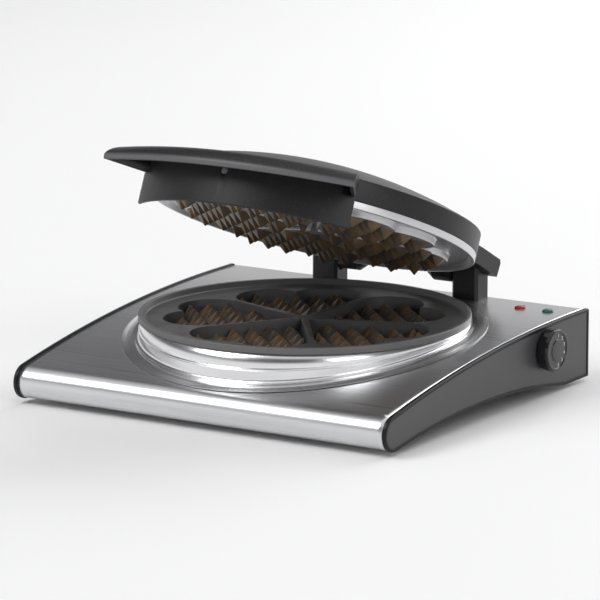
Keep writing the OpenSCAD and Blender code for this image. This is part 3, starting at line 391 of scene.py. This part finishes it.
# a line of corners, each rounded to its radius: a quadratic curve between its two tangent points
def rounded(corners, radii, steps=5, closed=False):
    points = np.asarray(corners, float)
    count = len(points)
    radii = np.broadcast_to(np.asarray(radii, float), (count,))
    made = []
    for i in range(count):
        if not closed and i in (0, count - 1) or radii[i] == 0:
            made.append(points[i:i + 1])
            continue
        before, after = points[i - 1] - points[i], points[(i + 1) % count] - points[i]
        longBefore, longAfter = np.linalg.norm(before), np.linalg.norm(after)
        before, after = before / longBefore, after / longAfter
        half = math.acos(np.clip(np.dot(before, after), -1, 1)) / 2
        reach = min(radii[i] / max(math.tan(half), 1e-6), longBefore * 0.48, longAfter * 0.48)
        t = np.linspace(0, 1, steps)[:, None]
        start, end = points[i] + before * reach, points[i] + after * reach
        made.append((1 - t) ** 2 * start + 2 * t * (1 - t) * points[i] + t ** 2 * end)
    return np.concatenate(made)


# a profile of radius and height carried round an upright axis
def revolve(profile, centre=(0, 0, 0), steps=192, closed=False):
    p = np.asarray(profile, float)
    turn = np.linspace(0, 2 * math.pi, steps, endpoint=False)
    points = np.stack([p[:, :1] * np.cos(turn), p[:, :1] * np.sin(turn),
                       np.repeat(p[:, 1:2], steps, 1)], -1) + np.asarray(centre, float)
    return points.reshape(-1, 3), gridFaces(len(p), steps, closed, True).tolist()


# a profile of radius and place along X, carried round an axis along X
def turned(profile, centre, steps=96):
    points, faces = revolve(profile, steps=steps)
    return np.stack([points[:, 2], points[:, 0], points[:, 1]], -1) + np.asarray(centre, float), faces


# shades a mesh smooth up to its sharp edges, and makes it a piece with its finish and small bevel
def dressed(name, mesh, rides, finish, replaced, sharp, bevel):
    mesh.polygons.foreach_set("use_smooth", np.ones(len(mesh.polygons), bool))
    mesh.set_sharp_from_angle(angle=math.radians(sharp))
    piece = bpy.data.objects.new(name, mesh)
    scene.collection.objects.link(piece)
    mesh.materials.clear()
    mesh.materials.append(finishes[finish])
    if bevel:
        edges = piece.modifiers.new("edges", "BEVEL")
        edges.width, edges.segments, edges.limit_method = bevel / 1000, 3, "ANGLE"
        edges.angle_limit, edges.harden_normals = math.radians(40), True
    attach(piece, rides)
    if replaced:
        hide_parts(*replaced)
    return piece


# joins shapes into one mesh in metres, merges their seams and poles, and turns the faces outwards
def addPiece(name, shapes, rides, finish, replaced=(), sharp=32, bevel=0.0, place=None):
    points, faces, start = [], [], 0
    for shape, shapeFaces in shapes:
        flat = np.asarray(shape, float).reshape(-1, 3)
        points.append(flat)
        faces += [[i + start for i in face] for face in shapeFaces]
        start += len(flat)
    points = np.concatenate(points)
    points = (place(points) if place else points) / 1000
    mesh = bpy.data.meshes.new(name)
    mesh.from_pydata(points.tolist(), [], faces)
    work = bmesh.new()
    work.from_mesh(mesh)
    bmesh.ops.remove_doubles(work, verts=work.verts, dist=2e-6)
    bmesh.ops.dissolve_degenerate(work, dist=1e-7, edges=work.edges)
    bmesh.ops.recalc_face_normals(work, faces=work.faces)
    work.to_mesh(mesh)
    work.free()
    return dressed(name, mesh, rides, finish, replaced, sharp, bevel)


# a copy of a solid's own mesh with its edges softened by a small bevel
def softened(node, width, finish, rides, name, sharp=32):
    mesh = nodes[node].data.copy()
    work = bmesh.new()
    work.from_mesh(mesh)
    bmesh.ops.remove_doubles(work, verts=work.verts, dist=2e-6)
    bmesh.ops.dissolve_limit(work, angle_limit=math.radians(1.0), verts=work.verts,
                             edges=work.edges, use_dissolve_boundaries=False)
    work.to_mesh(mesh)
    work.free()
    return dressed(name, mesh, rides, finish, [node], sharp, width)


# The steel top. Over the flat of the plan it is a ring of rays from the plate's hole to the edges
# of the sheet, lifted to the crown's arc. Its nose and rear lip are strips that share the rays' ends.
top = {"columns": 72, "depth": 36, "rings": 14, "hole": 126.0, "corner": 1.2, "flange": 14.5}
inset = body["proud"]
tangentY = crownY + (noseY - crownY) * body["crownRadius"] / (body["crownRadius"] - body["noseRadius"])
foreY = crownY - (crownY - tangentY) * (body["crownRadius"] - inset) / body["crownRadius"]
sheetRear, sheetTop = rearY - inset, bodyTop - inset
sideX = (shellLow[0], shellHigh[0])
xs = np.linspace(*sideX, top["columns"] + 1)
ys = np.linspace(foreY, sheetRear - top["corner"], top["depth"] + 1)
edge = np.concatenate([
    np.column_stack([xs, np.full_like(xs, ys[0])]), np.column_stack([np.full_like(ys, xs[-1]), ys])[1:],
    np.column_stack([xs[::-1], np.full_like(xs, ys[-1])])[1:],
    np.column_stack([np.full_like(ys, xs[0]), ys[::-1]])[1:-1]])
centre = np.array([plateX, plateY])
way = (edge - centre) / np.linalg.norm(edge - centre, axis=1)[:, None]
rim = centre + way * top["hole"]
share = (np.linspace(0, 1, top["rings"]) ** 1.2)[:, None, None]
flat = rim + (edge - rim) * share
flatTop = np.concatenate([flat, topAt(flat[..., 1:], inset)], -1)
noseFrom = math.atan2(noseZ - crownZ, crownY - noseY)
bend = np.linspace(math.pi - noseFrom, 1.5 * math.pi, 25)
noseLine = np.column_stack([noseY + (body["noseRadius"] - inset) * np.cos(bend),
                            noseZ + (body["noseRadius"] - inset) * np.sin(bend)])
noseLine[0] = (foreY, topAt(foreY, inset))
noseLine = np.vstack([noseLine, [noseY + top["flange"], noseLine[-1][1]]])
lipLine = np.vstack([[ys[-1], topAt(ys[-1], inset)], rounded(
    [(ys[-1], sheetTop), (sheetRear, sheetTop), (sheetRear, sheetTop - body["lipHeight"])],
    top["corner"], 6)[1:]])
strips = []
for line in (noseLine, lipLine):
    strips.append((np.stack(np.broadcast_arrays(xs[None, :], line[:, :1], line[:, 1:]), -1),
                   gridFaces(len(line), len(xs)).tolist()))
shell = addPiece("steel_top", [(flatTop, gridFaces(top["rings"], len(edge), False, True).tolist())]
                 + strips, "base", "brushed", ["top_shell"])
thick = shell.modifiers.new("gauge", "SOLIDIFY")
thick.thickness, thick.offset = body["sheetThick"] / 1000, -1
print("steel top made")

# The polished drum. One profile of radius and height over the sheet, carried round; its height
# is scaled by how far the drum stands out of the crowned top at that place.
drum = {"columns": 360, "gap": 0.1, "wall": 0.5, "rise": 9.0, "line": (
    (119, 4.2), (119, 4.0), (119.05, 3.1), (119.5, 2.4), (120.2, 1.75), (121.2, 1.5), (122.2, 1.75),
    (123.4, 2.1), (124.6, 2.05), (125.8, 1.75), (127.2, 1.62), (128.8, 1.15), (130.4, 0.6),
    (131.4, 0.4), (132, 0.25), (132, 0.0))}
drumTop = boxMm("plate_collar")[1][2]
line = np.array(drum["line"])
turn = np.linspace(0, 2 * math.pi, drum["columns"], endpoint=False)
r, h = line[:, :1], line[:, 1:]
y = plateY + r * np.sin(turn)
ground = topAt(y, inset)
swell = np.clip((drumTop - ground) / drum["rise"], 0, 1)
low = ground + drum["gap"] + drum["wall"] + swell * h
foot = np.stack([plateX + r * np.cos(turn), y, low], -1)
# above the foot: the wall, with one raised bead a third of the way up
bead = rounded([(0.0, 0.0), (0.0, 0.30), (0.75, 0.345), (0.75, 0.375), (0.0, 0.42), (0.0, 1.0)],
               [0, 0.02, 0.02, 0.02, 0.02, 0], 5)[::-1]
high = drumTop - foot[0, :, 2]
wall = np.stack([
    plateX + (119 + bead[:, :1] * swell[:1]) * np.cos(turn),
    plateY + (119 + bead[:, :1] * swell[:1]) * np.sin(turn),
    foot[0, :, 2] + high * bead[:, 1:]], -1)
drumPoints = np.concatenate([wall[:-1], foot])
collar = addPiece("polished_drum", [(drumPoints, gridFaces(len(drumPoints), drum["columns"], False,
                  True).tolist())], "base", "spun", ["plate_collar"], 50)
thick = collar.modifiers.new("gauge", "SOLIDIFY")
thick.thickness, thick.offset = drum["wall"] / 1000, -1
print("drum made")


# A plate's pattern. Each heart is two discs and the straight sides that run from a tip near the
# plate's middle to the discs. A heart's rays start at its own centre, end on its fifth of the
# disc, and cross its outline at the farthest exit from its discs and its kite of straight sides.
rosette = {
    "reach": 102.0, "web": 1.5, "tip": 5.0, "lobeAngle": 15.0, "disc": 113.4, "pitch": 14.0,
    "foot": 13.4, "top": 0.8, "rise": 7.0, "arc": 96, "side": 44, "margin": 2.4,
}
lobeSin = math.sin(math.radians(36 - rosette["lobeAngle"]))
lobeD = (rosette["reach"] + rosette["web"]) / (1 + lobeSin)
lobeR = rosette["reach"] - lobeD
lobeX = lobeD * math.cos(math.radians(rosette["lobeAngle"]))
lobeY = lobeD * math.sin(math.radians(rosette["lobeAngle"]))
sideLen = math.hypot(lobeX - rosette["tip"], lobeY)
sideAngle = math.atan2(lobeY, lobeX - rosette["tip"]) + math.asin(lobeR / sideLen)
sideRun = math.sqrt(sideLen ** 2 - lobeR ** 2)
heartX = lobeX * 0.86


# distance along each ray from the heart's centre to where it leaves the heart
def heartExit(ways):
    best = np.zeros(len(ways))
    for side in (-1, 1):
        toLobe = np.array([heartX - lobeX, -side * lobeY])
        along = ways @ toLobe
        inside = along ** 2 - (toLobe @ toLobe - lobeR ** 2)
        best = np.maximum(best, np.where(inside > 0, -along + np.sqrt(np.maximum(inside, 0)), 0))
    touchX = rosette["tip"] + sideRun * math.cos(sideAngle)
    touchY = sideRun * math.sin(sideAngle)
    kite = np.array([
        (rosette["tip"], 0), (touchX, -touchY), (lobeX, -lobeY), (lobeX + lobeR * 0.6, 0),
        (lobeX, lobeY), (touchX, touchY)])
    for a, b in zip(kite, np.roll(kite, -1, 0)):
        normal = np.array([b[1] - a[1], a[0] - b[0]])
        facing = ways @ normal
        reach = ((a - (heartX, 0)) @ normal) / np.where(abs(facing) < 1e-9, 1e-9, facing)
        hit = np.array([heartX, 0]) + ways * reach[:, None]
        share = ((hit - a) @ (b - a)) / ((b - a) @ (b - a))
        best = np.where((reach > 0) & (share > -1e-6) & (share < 1 + 1e-6), np.maximum(best, reach), best)
    return best


# how deep a point lies inside whichever heart holds it, negative outside
def heartDepth(x, y):
    v = abs(y)
    lobe = lobeR - np.hypot(x - lobeX, v - lobeY)
    side = (x - rosette["tip"]) * math.sin(sideAngle) - v * math.cos(sideAngle)
    return np.where(x < lobeX, np.maximum(lobe, np.minimum(side, x - rosette["tip"])), lobe)


# the five fifths of the disc: rows run from the disc's edge inwards over each heart's wall
# to its centre; outer is the level between hearts, inner the level of the hearts
def heartField(outer, inner, draft, round1, round2):
    arc = np.radians(np.linspace(-36, 36, rosette["arc"] + 1))
    rim = rosette["disc"] * np.column_stack([np.cos(arc), np.sin(arc)])
    run = (np.linspace(1, 0, rosette["side"] + 1) ** 1.15)[1:, None]
    border = np.concatenate([rim, rim[-1] * run, (rim[0] * run)[::-1][1:]])
    ways = border - (heartX, 0)
    far = np.linalg.norm(ways, axis=1)
    ways = ways / far[:, None]
    near = heartExit(ways)
    wall = rounded([(-2.2, outer), (0, outer), (draft, inner), (draft + 3, inner)],
                   [0, round1, round2, 0], 5)
    rows, levels = [], []
    for t in np.linspace(0, 1, 6)[:-1]:
        rows.append(far + (np.minimum(near + 2.2, (near + far) / 2) - far) * t)
        levels.append(outer)
    for offset, level in wall:
        gap = np.minimum(2.2, (far - near) / 2)
        rows.append(near - offset if offset > 0 else near - offset * gap / 2.2)
        levels.append(level)
    inside = near - wall[-1][0]
    for t in (0.8, 0.55, 0.3, 0.0):
        rows.append(inside * t)
        levels.append(inner)
    flat = (heartX, 0) + ways[None] * np.array(rows)[..., None]
    heights = np.broadcast_to(np.array(levels)[:, None, None], flat.shape[:2] + (1,))
    field = np.concatenate([flat, heights], -1)
    faces = gridFaces(len(rows), len(border), False, True).tolist()
    made = []
    for k in range(5):
        a = math.radians(-90 + 72 * k)
        turned5 = np.stack([field[..., 0] * math.cos(a) - field[..., 1] * math.sin(a),
                            field[..., 0] * math.sin(a) + field[..., 1] * math.cos(a),
                            field[..., 2]], -1)
        made.append((turned5, faces))
    return made


# the pyramids: rings of a rounded square, wide with a hollow fillet at the foot, and a soft tip;
# those at a heart's edge are cut off upright along its outline
def pyramidShapes(level, sign, shift, edge):
    half, tip, rise = rosette["foot"] / 2, rosette["top"] / 2, rosette["rise"]
    profile = rounded([(half, 0.0), (half - 0.35, 0.25), (tip + 0.15, rise - 0.25), (0.0, rise)],
                      [0, 0.5, 0.5, 0], 4)
    quarter = np.linspace(-math.pi / 4, math.pi / 4, 5)[:-1]
    square = []
    for size, height in profile:
        soft = min(size, 0.3 + 0.12 * height)
        corner = np.column_stack([size - soft + soft * np.cos(quarter + math.pi / 4),
                                  size - soft + soft * np.sin(quarter + math.pi / 4)])
        ring = [corner @ np.array([[math.cos(q), math.sin(q)], [-math.sin(q), math.cos(q)]])
                for q in np.arange(4) * math.pi / 2]
        square.append(np.column_stack([np.concatenate(ring), np.full(16, height - 0.02)]))
    grid = np.array(square)
    s = math.sqrt(0.5)
    grid = np.stack([(grid[..., 0] - grid[..., 1]) * s, (grid[..., 0] + grid[..., 1]) * s,
                     grid[..., 2]], -1)
    faces = gridFaces(len(profile), 16, False, True).tolist()
    count = math.ceil(rosette["reach"] / rosette["pitch"])
    turns = np.radians(-90 + 72 * np.arange(5))[:, None, None]

    def depthAt(x, y):
        return heartDepth(x * np.cos(turns) + y * np.sin(turns),
                          y * np.cos(turns) - x * np.sin(turns)).max(0)
    made = []
    for i in range(-count, count + 1):
        for j in range(-count, count + 1):
            u, v = (i + shift) * rosette["pitch"], (j + shift) * rosette["pitch"]
            x, y = (u - v) * s, (u + v) * s
            if float(depthAt(np.full((1, 1), x), np.full((1, 1), y))[0, 0]) < rosette["margin"]:
                continue
            # each point outside the outline is drawn in, halving its way, to where it meets it
            low, far = np.zeros(grid.shape[:2]), np.ones(grid.shape[:2])
            outside = depthAt(x + grid[..., 0], y + grid[..., 1]) < edge
            for _ in range(12):
                mid = (low + far) / 2
                within = depthAt(x + grid[..., 0] * mid, y + grid[..., 1] * mid) > edge
                low, far = np.where(within, mid, low), np.where(within, far, mid)
            shrink = np.where(outside, low, 1.0)[..., None]
            cut = np.concatenate([grid[..., :2] * shrink, grid[..., 2:]], -1)
            made.append((cut * (1, 1, sign) + (x, y, level), faces))
    return made


# a rim revolved so that its innermost ring falls on the fifths' own points
def plateRim(profile):
    p = np.asarray(profile, float)
    steps = 5 * rosette["arc"]
    turn = np.radians(-90 - 36 + np.arange(steps) * 72 / rosette["arc"])
    points = np.stack([p[:, :1] * np.cos(turn), p[:, :1] * np.sin(turn), np.repeat(p[:, 1:], steps, 1)], -1)
    return points, gridFaces(len(p), steps, False, True).tolist()


# a rim's lines of points, moved into their place by one offset of the plate's own middle
def atPlate(points):
    return points + np.array([plateX, plateY, 0])


lower = {"rimWidth": 3.0, "rimHeight": 4.85, "channel": 4.0, "hollow": 9.2, "radius": 120.0}
channelZ, hollowZ = rimTop - lower["channel"], rimTop - lower["channel"] - lower["hollow"]
R, W = lower["radius"], lower["rimWidth"]
rimLine = rounded([
    (R - 3.6, rimTop - lower["rimHeight"]), (R, rimTop - lower["rimHeight"]), (R, rimTop),
    (R - W, rimTop), (R - W - 1.8, channelZ), (rosette["disc"], channelZ)],
    [0, 0.7, 0.8, 0.8, 1.6, 0], 6)
rimLine = np.vstack([[(112.0, plateLow[2] + 14), (116.0, plateLow[2] + 14)], rimLine])
addPiece("lower_rim", [plateRim(rimLine)], "base", "rimCoat", ["lower_plate"], 40,
         place=atPlate)
addPiece("lower_pattern", heartField(channelZ, hollowZ, 0.9, 0.7, 1.0), "base",
         "pan", sharp=50, place=atPlate)
addPiece("lower_pyramids", pyramidShapes(hollowZ, 1, 0.0, 0.5), "base", "brownTinted",
         sharp=60, place=atPlate)

upper = {"drop": 3.5, "proud": 1.5, "band": 5.25, "casting": 14.0, "radius": 119.7}
R = upper["radius"]
upperLine = rounded([
    (100.0, upper["casting"]), (114.9, upper["casting"]), (114.9, upper["band"]), (R, upper["band"]),
    (R, 0), (R - 2.7, 0), (rosette["disc"] + 0.8, upper["drop"]), (rosette["disc"], upper["drop"])],
    [0, 0.8, 0.3, 0.4, 0.7, 0.7, 0.6, 0], 6)
addPiece("upper_rim", [plateRim(upperLine)], "lid", "bare", ["upper_plate"], 40,
         place=lidToRow)
addPiece("upper_pattern", heartField(upper["drop"], -upper["proud"], 0.6, 0.8, 0.5), "lid",
         "bare", sharp=50, place=lidToRow)
addPiece("upper_pyramids", pyramidShapes(-upper["proud"], -1, 0.5, 1.1), "lid",
         "brownTinted", sharp=60, place=lidToRow)
print("plates made")

# the lid's cover: a low drum under a shallow dome, hollow, in one closed profile
cover = {"radius": 120.0, "low": 5.35, "ridge": 21.0, "rise": 22.4, "thick": 2.5}
domeR = (cover["radius"] ** 2 + cover["rise"] ** 2) / (2 * cover["rise"])
domeZ = cover["ridge"] + cover["rise"] - domeR
dome = math.asin(cover["radius"] / domeR)
out = np.linspace(dome, 0, 34)
back = np.linspace(0, math.asin((cover["radius"] - cover["thick"]) / domeR), 24)
R = cover["radius"]
sill = rounded([(R - cover["thick"], 12), (R - cover["thick"], cover["low"]), (R, cover["low"]),
                (R, cover["ridge"]), (domeR * math.sin(out[2]), domeZ + domeR * math.cos(out[2]))],
               [0, 0.4, 0.9, 1.6, 0], 6)
innerR = domeR - cover["thick"]
profile = np.concatenate([
    sill, np.column_stack([domeR * np.sin(out[3:]), domeZ + domeR * np.cos(out[3:])]),
    np.column_stack([innerR * np.sin(back), domeZ + innerR * np.cos(back)])])
profile = np.vstack([profile, [(R - cover["thick"], 18.0), (R - cover["thick"], 12.0)]])
addPiece("lid_shell", [revolve(profile, steps=288)], "lid", "shell",
         ["lid_cover"], 30, place=lidToRow)

# The visor. Each cross-section runs from a point of its front arc to one of the cover's wall; its
# height follows a quarter of a rounded curve, whose lowest part turns back under. Walls close its ends.
visor = {
    "width": 208.0, "reach": 145.0, "bow": 18.0, "low": 6.5, "thick": 2.6, "backR": 120.25,
    "backHalf": 43.8, "top": 21.5, "sections": 150, "steps": 30, "under": 1.5, "underHigh": 5.0,
}
arcR = ((visor["width"] / 2) ** 2 + visor["bow"] ** 2) / (2 * visor["bow"])
arcY = arcR - visor["reach"]
endWall = visor["thick"] / visor["width"] * 2
u = np.concatenate([[-1.0, -1 + endWall], np.linspace(-1 + endWall, 1 - endWall, visor["sections"] + 1),
                    [1 - endWall, 1.0]])[:, None]
hollow = np.ones_like(u)
hollow[[0, 1, -2, -1]] = 0
fx = u * visor["width"] / 2
fy = arcY - np.sqrt(arcR ** 2 - fx ** 2)
turn = u * math.radians(visor["backHalf"])
bx, by = visor["backR"] * np.sin(turn), -visor["backR"] * np.cos(turn)
span = np.hypot(bx - fx, by - fy)
high = visor["top"] - visor["low"]
s = (1 - np.cos(np.linspace(0, math.pi / 2, visor["steps"] + 1)) ** 1.6)[None] ** 1.5


def visorHeight(s):
    return np.sqrt(np.clip(1 - (1 - s) ** 3, 0, 1))


tuck = visor["under"] * np.clip(1 - high * visorHeight(s) / visor["underHigh"], 0, 1) ** 2 / span
outside = np.stack(np.broadcast_arrays(
    fx + (s + tuck) * (bx - fx), fy + (s + tuck) * (by - fy), visor["low"] + high * visorHeight(s)), -1)
sIn = np.maximum(s, visor["thick"] / span)[:, ::-1]
inZ = visor["low"] + hollow * np.maximum(0, high * visorHeight(sIn) - visor["thick"])
inZ[:, -1] = visor["low"]
inside = np.stack([fx + sIn * (bx - fx), fy + sIn * (by - fy), inZ], -1)
rings = np.concatenate([outside, inside], 1)
count = rings.shape[1]
caps = []
for j in range(count // 2 - 1):
    caps.append([j, j + 1, count - 2 - j, count - 1 - j])
last = (len(rings) - 1) * count
visorFaces = gridFaces(len(rings), count, False, True).tolist() + caps + [
    [last + i for i in face[::-1]] for face in caps]
addPiece("lid_visor", [(rings, visorFaces)], "lid", "visor",
                      ["handle_shell"], 42, 0.5, lidToRow)
softened("handle_skirt", 0.7, "shell", "lid", "lid_skirt")
for side in ("left", "right"):
    softened(side + "_lid_arm", 0.9, "shell", "lid", "arm_" + side)
    softened(side + "_post", 0.6, "shell", "base", "post_" + side + "_cover")
print("lid made")

# A cheek: its outline is the body's side view with the arch under it. Loops of that outline, each
# drawn in by a distance and set out to a place along X, make a rounded rim and a sunk panel.
cheek = {"rim": 3.0, "sunk": 0.5, "corner": 1.6, "archFront": 2.0, "loops": (
    (0.0, 0.0), (0.0, 0.62), (0.06, 0.74), (0.16, 0.85), (0.3, 0.94), (0.48, 0.99), (0.7, 1.0),
    (2.2, 1.0), (2.5, 0.97), (2.65, 0.90), (2.7, 0.84), (2.8, 0.83))}
archFrom, archTo = noseY + cheek["archFront"], rearY - body["rearFoot"]
archHalf = (archTo - archFrom) / 2
archR = (archHalf ** 2 + body["archRise"] ** 2) / (2 * body["archRise"])
archAngles = np.linspace(-math.asin(archHalf / archR), math.asin(archHalf / archR), 61)
arch = np.column_stack([(archFrom + archTo) / 2 + archR * np.sin(archAngles),
                        bodyLow + body["archRise"] - archR + archR * np.cos(archAngles)])
bend = np.linspace(math.pi - noseFrom, 1.5 * math.pi, 33)
noseArc = np.column_stack([noseY + body["noseRadius"] * np.cos(bend),
                           noseZ + body["noseRadius"] * np.sin(bend)])
crown = np.linspace(rearY - 6, tangentY, 70)[:-1]
corners = rounded([arch[-1], (rearY, bodyLow), (rearY, bodyTop), (rearY - 6, bodyTop)],
                  [0, cheek["corner"], cheek["corner"], 0], 6)[1:-1]
outline = np.concatenate([np.column_stack([crown, topAt(crown)]), noseArc, arch, corners])
ahead, behind = np.roll(outline, -1, 0) - outline, outline - np.roll(outline, 1, 0)
ahead /= np.linalg.norm(ahead, axis=1)[:, None]
behind /= np.linalg.norm(behind, axis=1)[:, None]
mitre = (ahead + behind) / np.linalg.norm(ahead + behind, axis=1)[:, None]
mitre /= np.maximum((mitre * ahead).sum(1), 0.5)[:, None]
inward = np.column_stack([-mitre[:, 1], mitre[:, 0]])
for side, box, finishSide in (("right", (cheekLow, cheekHigh), 1), ("left", (leftLow, leftHigh), -1)):
    outX = box[1][0] if finishSide > 0 else box[0][0]
    inX = outX - finishSide * body["cheekThick"]
    rows = [np.column_stack([np.full(len(outline), inX), outline + inward * 1.6])]
    for draw, share in cheek["loops"]:
        rows.append(np.column_stack([np.full(len(outline), inX + (outX - inX) * share),
                                     outline + inward * draw]))
    faces = gridFaces(len(rows), len(outline), False, True).tolist()
    addPiece("cheek_rim_" + side, [(np.concatenate(rows), faces + [list(range(len(outline)))])],
             "base", "rim", [side + "_cheek"], 30)
    panelX = inX + (outX - inX) * 0.835
    panel = np.column_stack([np.full(len(outline), panelX), outline + inward * 2.72])
    backed = panel - np.array([finishSide * 0.6, 0, 0])
    addPiece("cheek_panel_" + side, [(np.concatenate([panel, backed]), [
        list(range(len(outline))), list(range(len(outline), 2 * len(outline)))]
        + gridFaces(2, len(outline), False, True).tolist())], "base", "panel", (), 30)
print("cheeks made")

# The knob: turned on an axis along X, with a rim round its face and a raised disc in the middle.
knobLow, knobHigh = boxMm("knob")
knobAt = np.array([knobLow[0], (knobLow[1] + knobHigh[1]) / 2, (knobLow[2] + knobHigh[2]) / 2])
knobR, knobDeep = (knobHigh[1] - knobLow[1]) / 2, knobHigh[0] - knobLow[0]
knobLine = rounded([
    (0, 0.4), (knobR - 3, 0.4), (knobR - 3, 0), (knobR - 1.2, 0), (knobR - 0.5, 1.4),
    (knobR, knobDeep - 2.4), (knobR - 0.5, knobDeep), (knobR - 2.4, knobDeep), (knobR - 2.9, knobDeep - 0.7),
    (8.3, knobDeep - 0.7), (7.8, knobDeep - 0.1), (0, knobDeep - 0.1)],
    [0, 0, 0, 0.4, 0.8, 0.8, 0.8, 0.7, 0.3, 0.4, 0.5, 0], 6)
addPiece("dial_knob", [turned(knobLine, knobAt, 128)], "dial", "gloss", ["knob"], 34)
digit = {"size": 3.6, "radius": 10.7, "from": 80.0, "to": -80.0, "count": 6, "thick": 0.06}
marks = []
for i in range(digit["count"]):
    label = bpy.data.curves.new("mark", "FONT")
    label.body, label.size, label.extrude = str(i + 1), digit["size"], digit["thick"]
    label.align_x, label.align_y, label.resolution_u = "CENTER", "CENTER", 4
    word = bpy.data.objects.new("mark", label)
    scene.collection.objects.link(word)
    made = bpy.data.meshes.new_from_object(word.evaluated_get(bpy.context.evaluated_depsgraph_get()))
    flatMark = np.empty(len(made.vertices) * 3)
    made.vertices.foreach_get("co", flatMark)
    flatMark = flatMark.reshape(-1, 3)
    flatMark[:, :2] -= (flatMark[:, :2].min(0) + flatMark[:, :2].max(0)) / 2
    a = math.radians(digit["from"] + (digit["to"] - digit["from"]) * i / (digit["count"] - 1))
    marks.append((knobAt + np.column_stack([
        np.full(len(flatMark), knobDeep - 0.68) + flatMark[:, 2],
        flatMark[:, 0] + digit["radius"] * math.cos(a), flatMark[:, 1] + digit["radius"] * math.sin(a)]),
        [list(p.vertices) for p in made.polygons]))
    bpy.data.objects.remove(word)
    bpy.data.meshes.remove(made)
    bpy.data.curves.remove(label)
addPiece("dial_marks", marks, "dial", "print", (), 30)
dot = {"height": 51.7, "sunk": 0.5, "radius": 1.0, "thick": 0.12}
dotAt = np.array([cheekHigh[0] - dot["sunk"], knobAt[1], dot["height"]])
dotLine = [(0, 0.0), (dot["radius"], 0.0), (dot["radius"], dot["thick"]), (0, dot["thick"])]
addPiece("cheek_mark", [turned(dotLine, dotAt, 24)], "base", "print", (), 30)

# the lamps: a domed lens in a raised ring
for name, shade in (("red_lamp", "red"), ("green_lamp", "green")):
    low, high = boxMm(name)
    mid = (low + high) / 2
    r = (high[0] - low[0]) / 2
    tall = high[2] - bodyTop + body["proud"]
    lens = rounded([(0, -2), (r - 1.2, -2), (r - 1.2, 0.0), (r, 0.0), (r, 0.8), (r - 0.7, tall * 0.9),
                    (r - 1.3, tall * 0.72), (r - 2.4, tall), (0, tall)],
                   [0, 0, 0, 0.1, 0.4, 0.4, 0.3, 0.9, 0], 5)
    addPiece(name + "_lens", [revolve(lens, (mid[0], mid[1], bodyTop - body["proud"]), 64)], "base",
             shade, [name], 34)
for place in ("front_left", "front_right", "rear_left", "rear_right"):
    softened("foot_" + place, 0.5, "rubber", "base", "pad_" + place)
softened("base_tray", 0.4, "dark", "base", "tray")
print("small pieces made")


# the studio: a pale floor, a surround that is white low down and overhead, and soft light
studio = {
    "floor": 12.0, "floorTone": 0.91, "skyTone": 0.86, "dimmed": (0.20, 0.40), "lit": (0.66, 0.86),
    "aimHeight": 0.08,
    "panels": (
        ("key", (-1.6, -1.9, 2.6), 1.6, 50.0), ("fill", (2.4, -1.2, 1.6), 1.2, 16.0),
        ("rear", (0.4, 2.6, 1.6), 2.2, 50.0)),
}
floorMesh = bpy.data.meshes.new("floor")
half = studio["floor"] / 2
floorMesh.from_pydata([(-half, -half, 0), (half, -half, 0), (half, half, 0), (-half, half, 0)], [],
                      [(0, 1, 2, 3)])
floor = bpy.data.objects.new("floor", floorMesh)
scene.collection.objects.link(floor)
floorPaint = Paint(bpy.data.materials.new("floor"))
floorShader = floorPaint.tree.nodes["Principled BSDF"]
tone = floorPaint.mix(floorPaint.noise(3.0, 2.0), (studio["floorTone"],) * 3,
                      (studio["floorTone"] * 1.02,) * 3)
floorPaint.link(tone, floorShader, "Base Color")
floorShader.inputs["Roughness"].default_value = 0.7
floorMesh.materials.append(floorPaint.owner)
world = bpy.data.worlds.new("studio")
scene.world = world
sky = Paint(world)
for old in list(sky.tree.nodes):
    sky.tree.nodes.remove(old)
around = sky.node("ShaderNodeTexCoord", output="Generated")
up = Wire(sky, sky.node("ShaderNodeSeparateXYZ", {}, [around]).socket.node.outputs[2])
skirting = sky.mix(up.step(*studio["dimmed"]), (1.0, 1.0, 1.0), (0.10, 0.10, 0.105))
soft = sky.node("ShaderNodeBackground", {}, {
    0: sky.mix(up.step(*studio["lit"]), skirting, (0.95, 0.95, 0.96)), 1: studio["skyTone"]})
end = sky.tree.nodes.new("ShaderNodeOutputWorld")
sky.link(soft, end, "Surface")
for name, where, size, power in studio["panels"]:
    lampData = bpy.data.lights.new(name, "AREA")
    lampData.shape, lampData.size, lampData.energy = "SQUARE", size, power
    panelLamp = bpy.data.objects.new(name, lampData)
    scene.collection.objects.link(panelLamp)
    panelLamp.location = where
    aim = np.array([0.0, 0.0, studio["aimHeight"]]) - where
    panelLamp.rotation_euler = (math.acos(-aim[2] / np.linalg.norm(aim)), 0,
                                math.atan2(aim[1], aim[0]) - math.pi / 2)
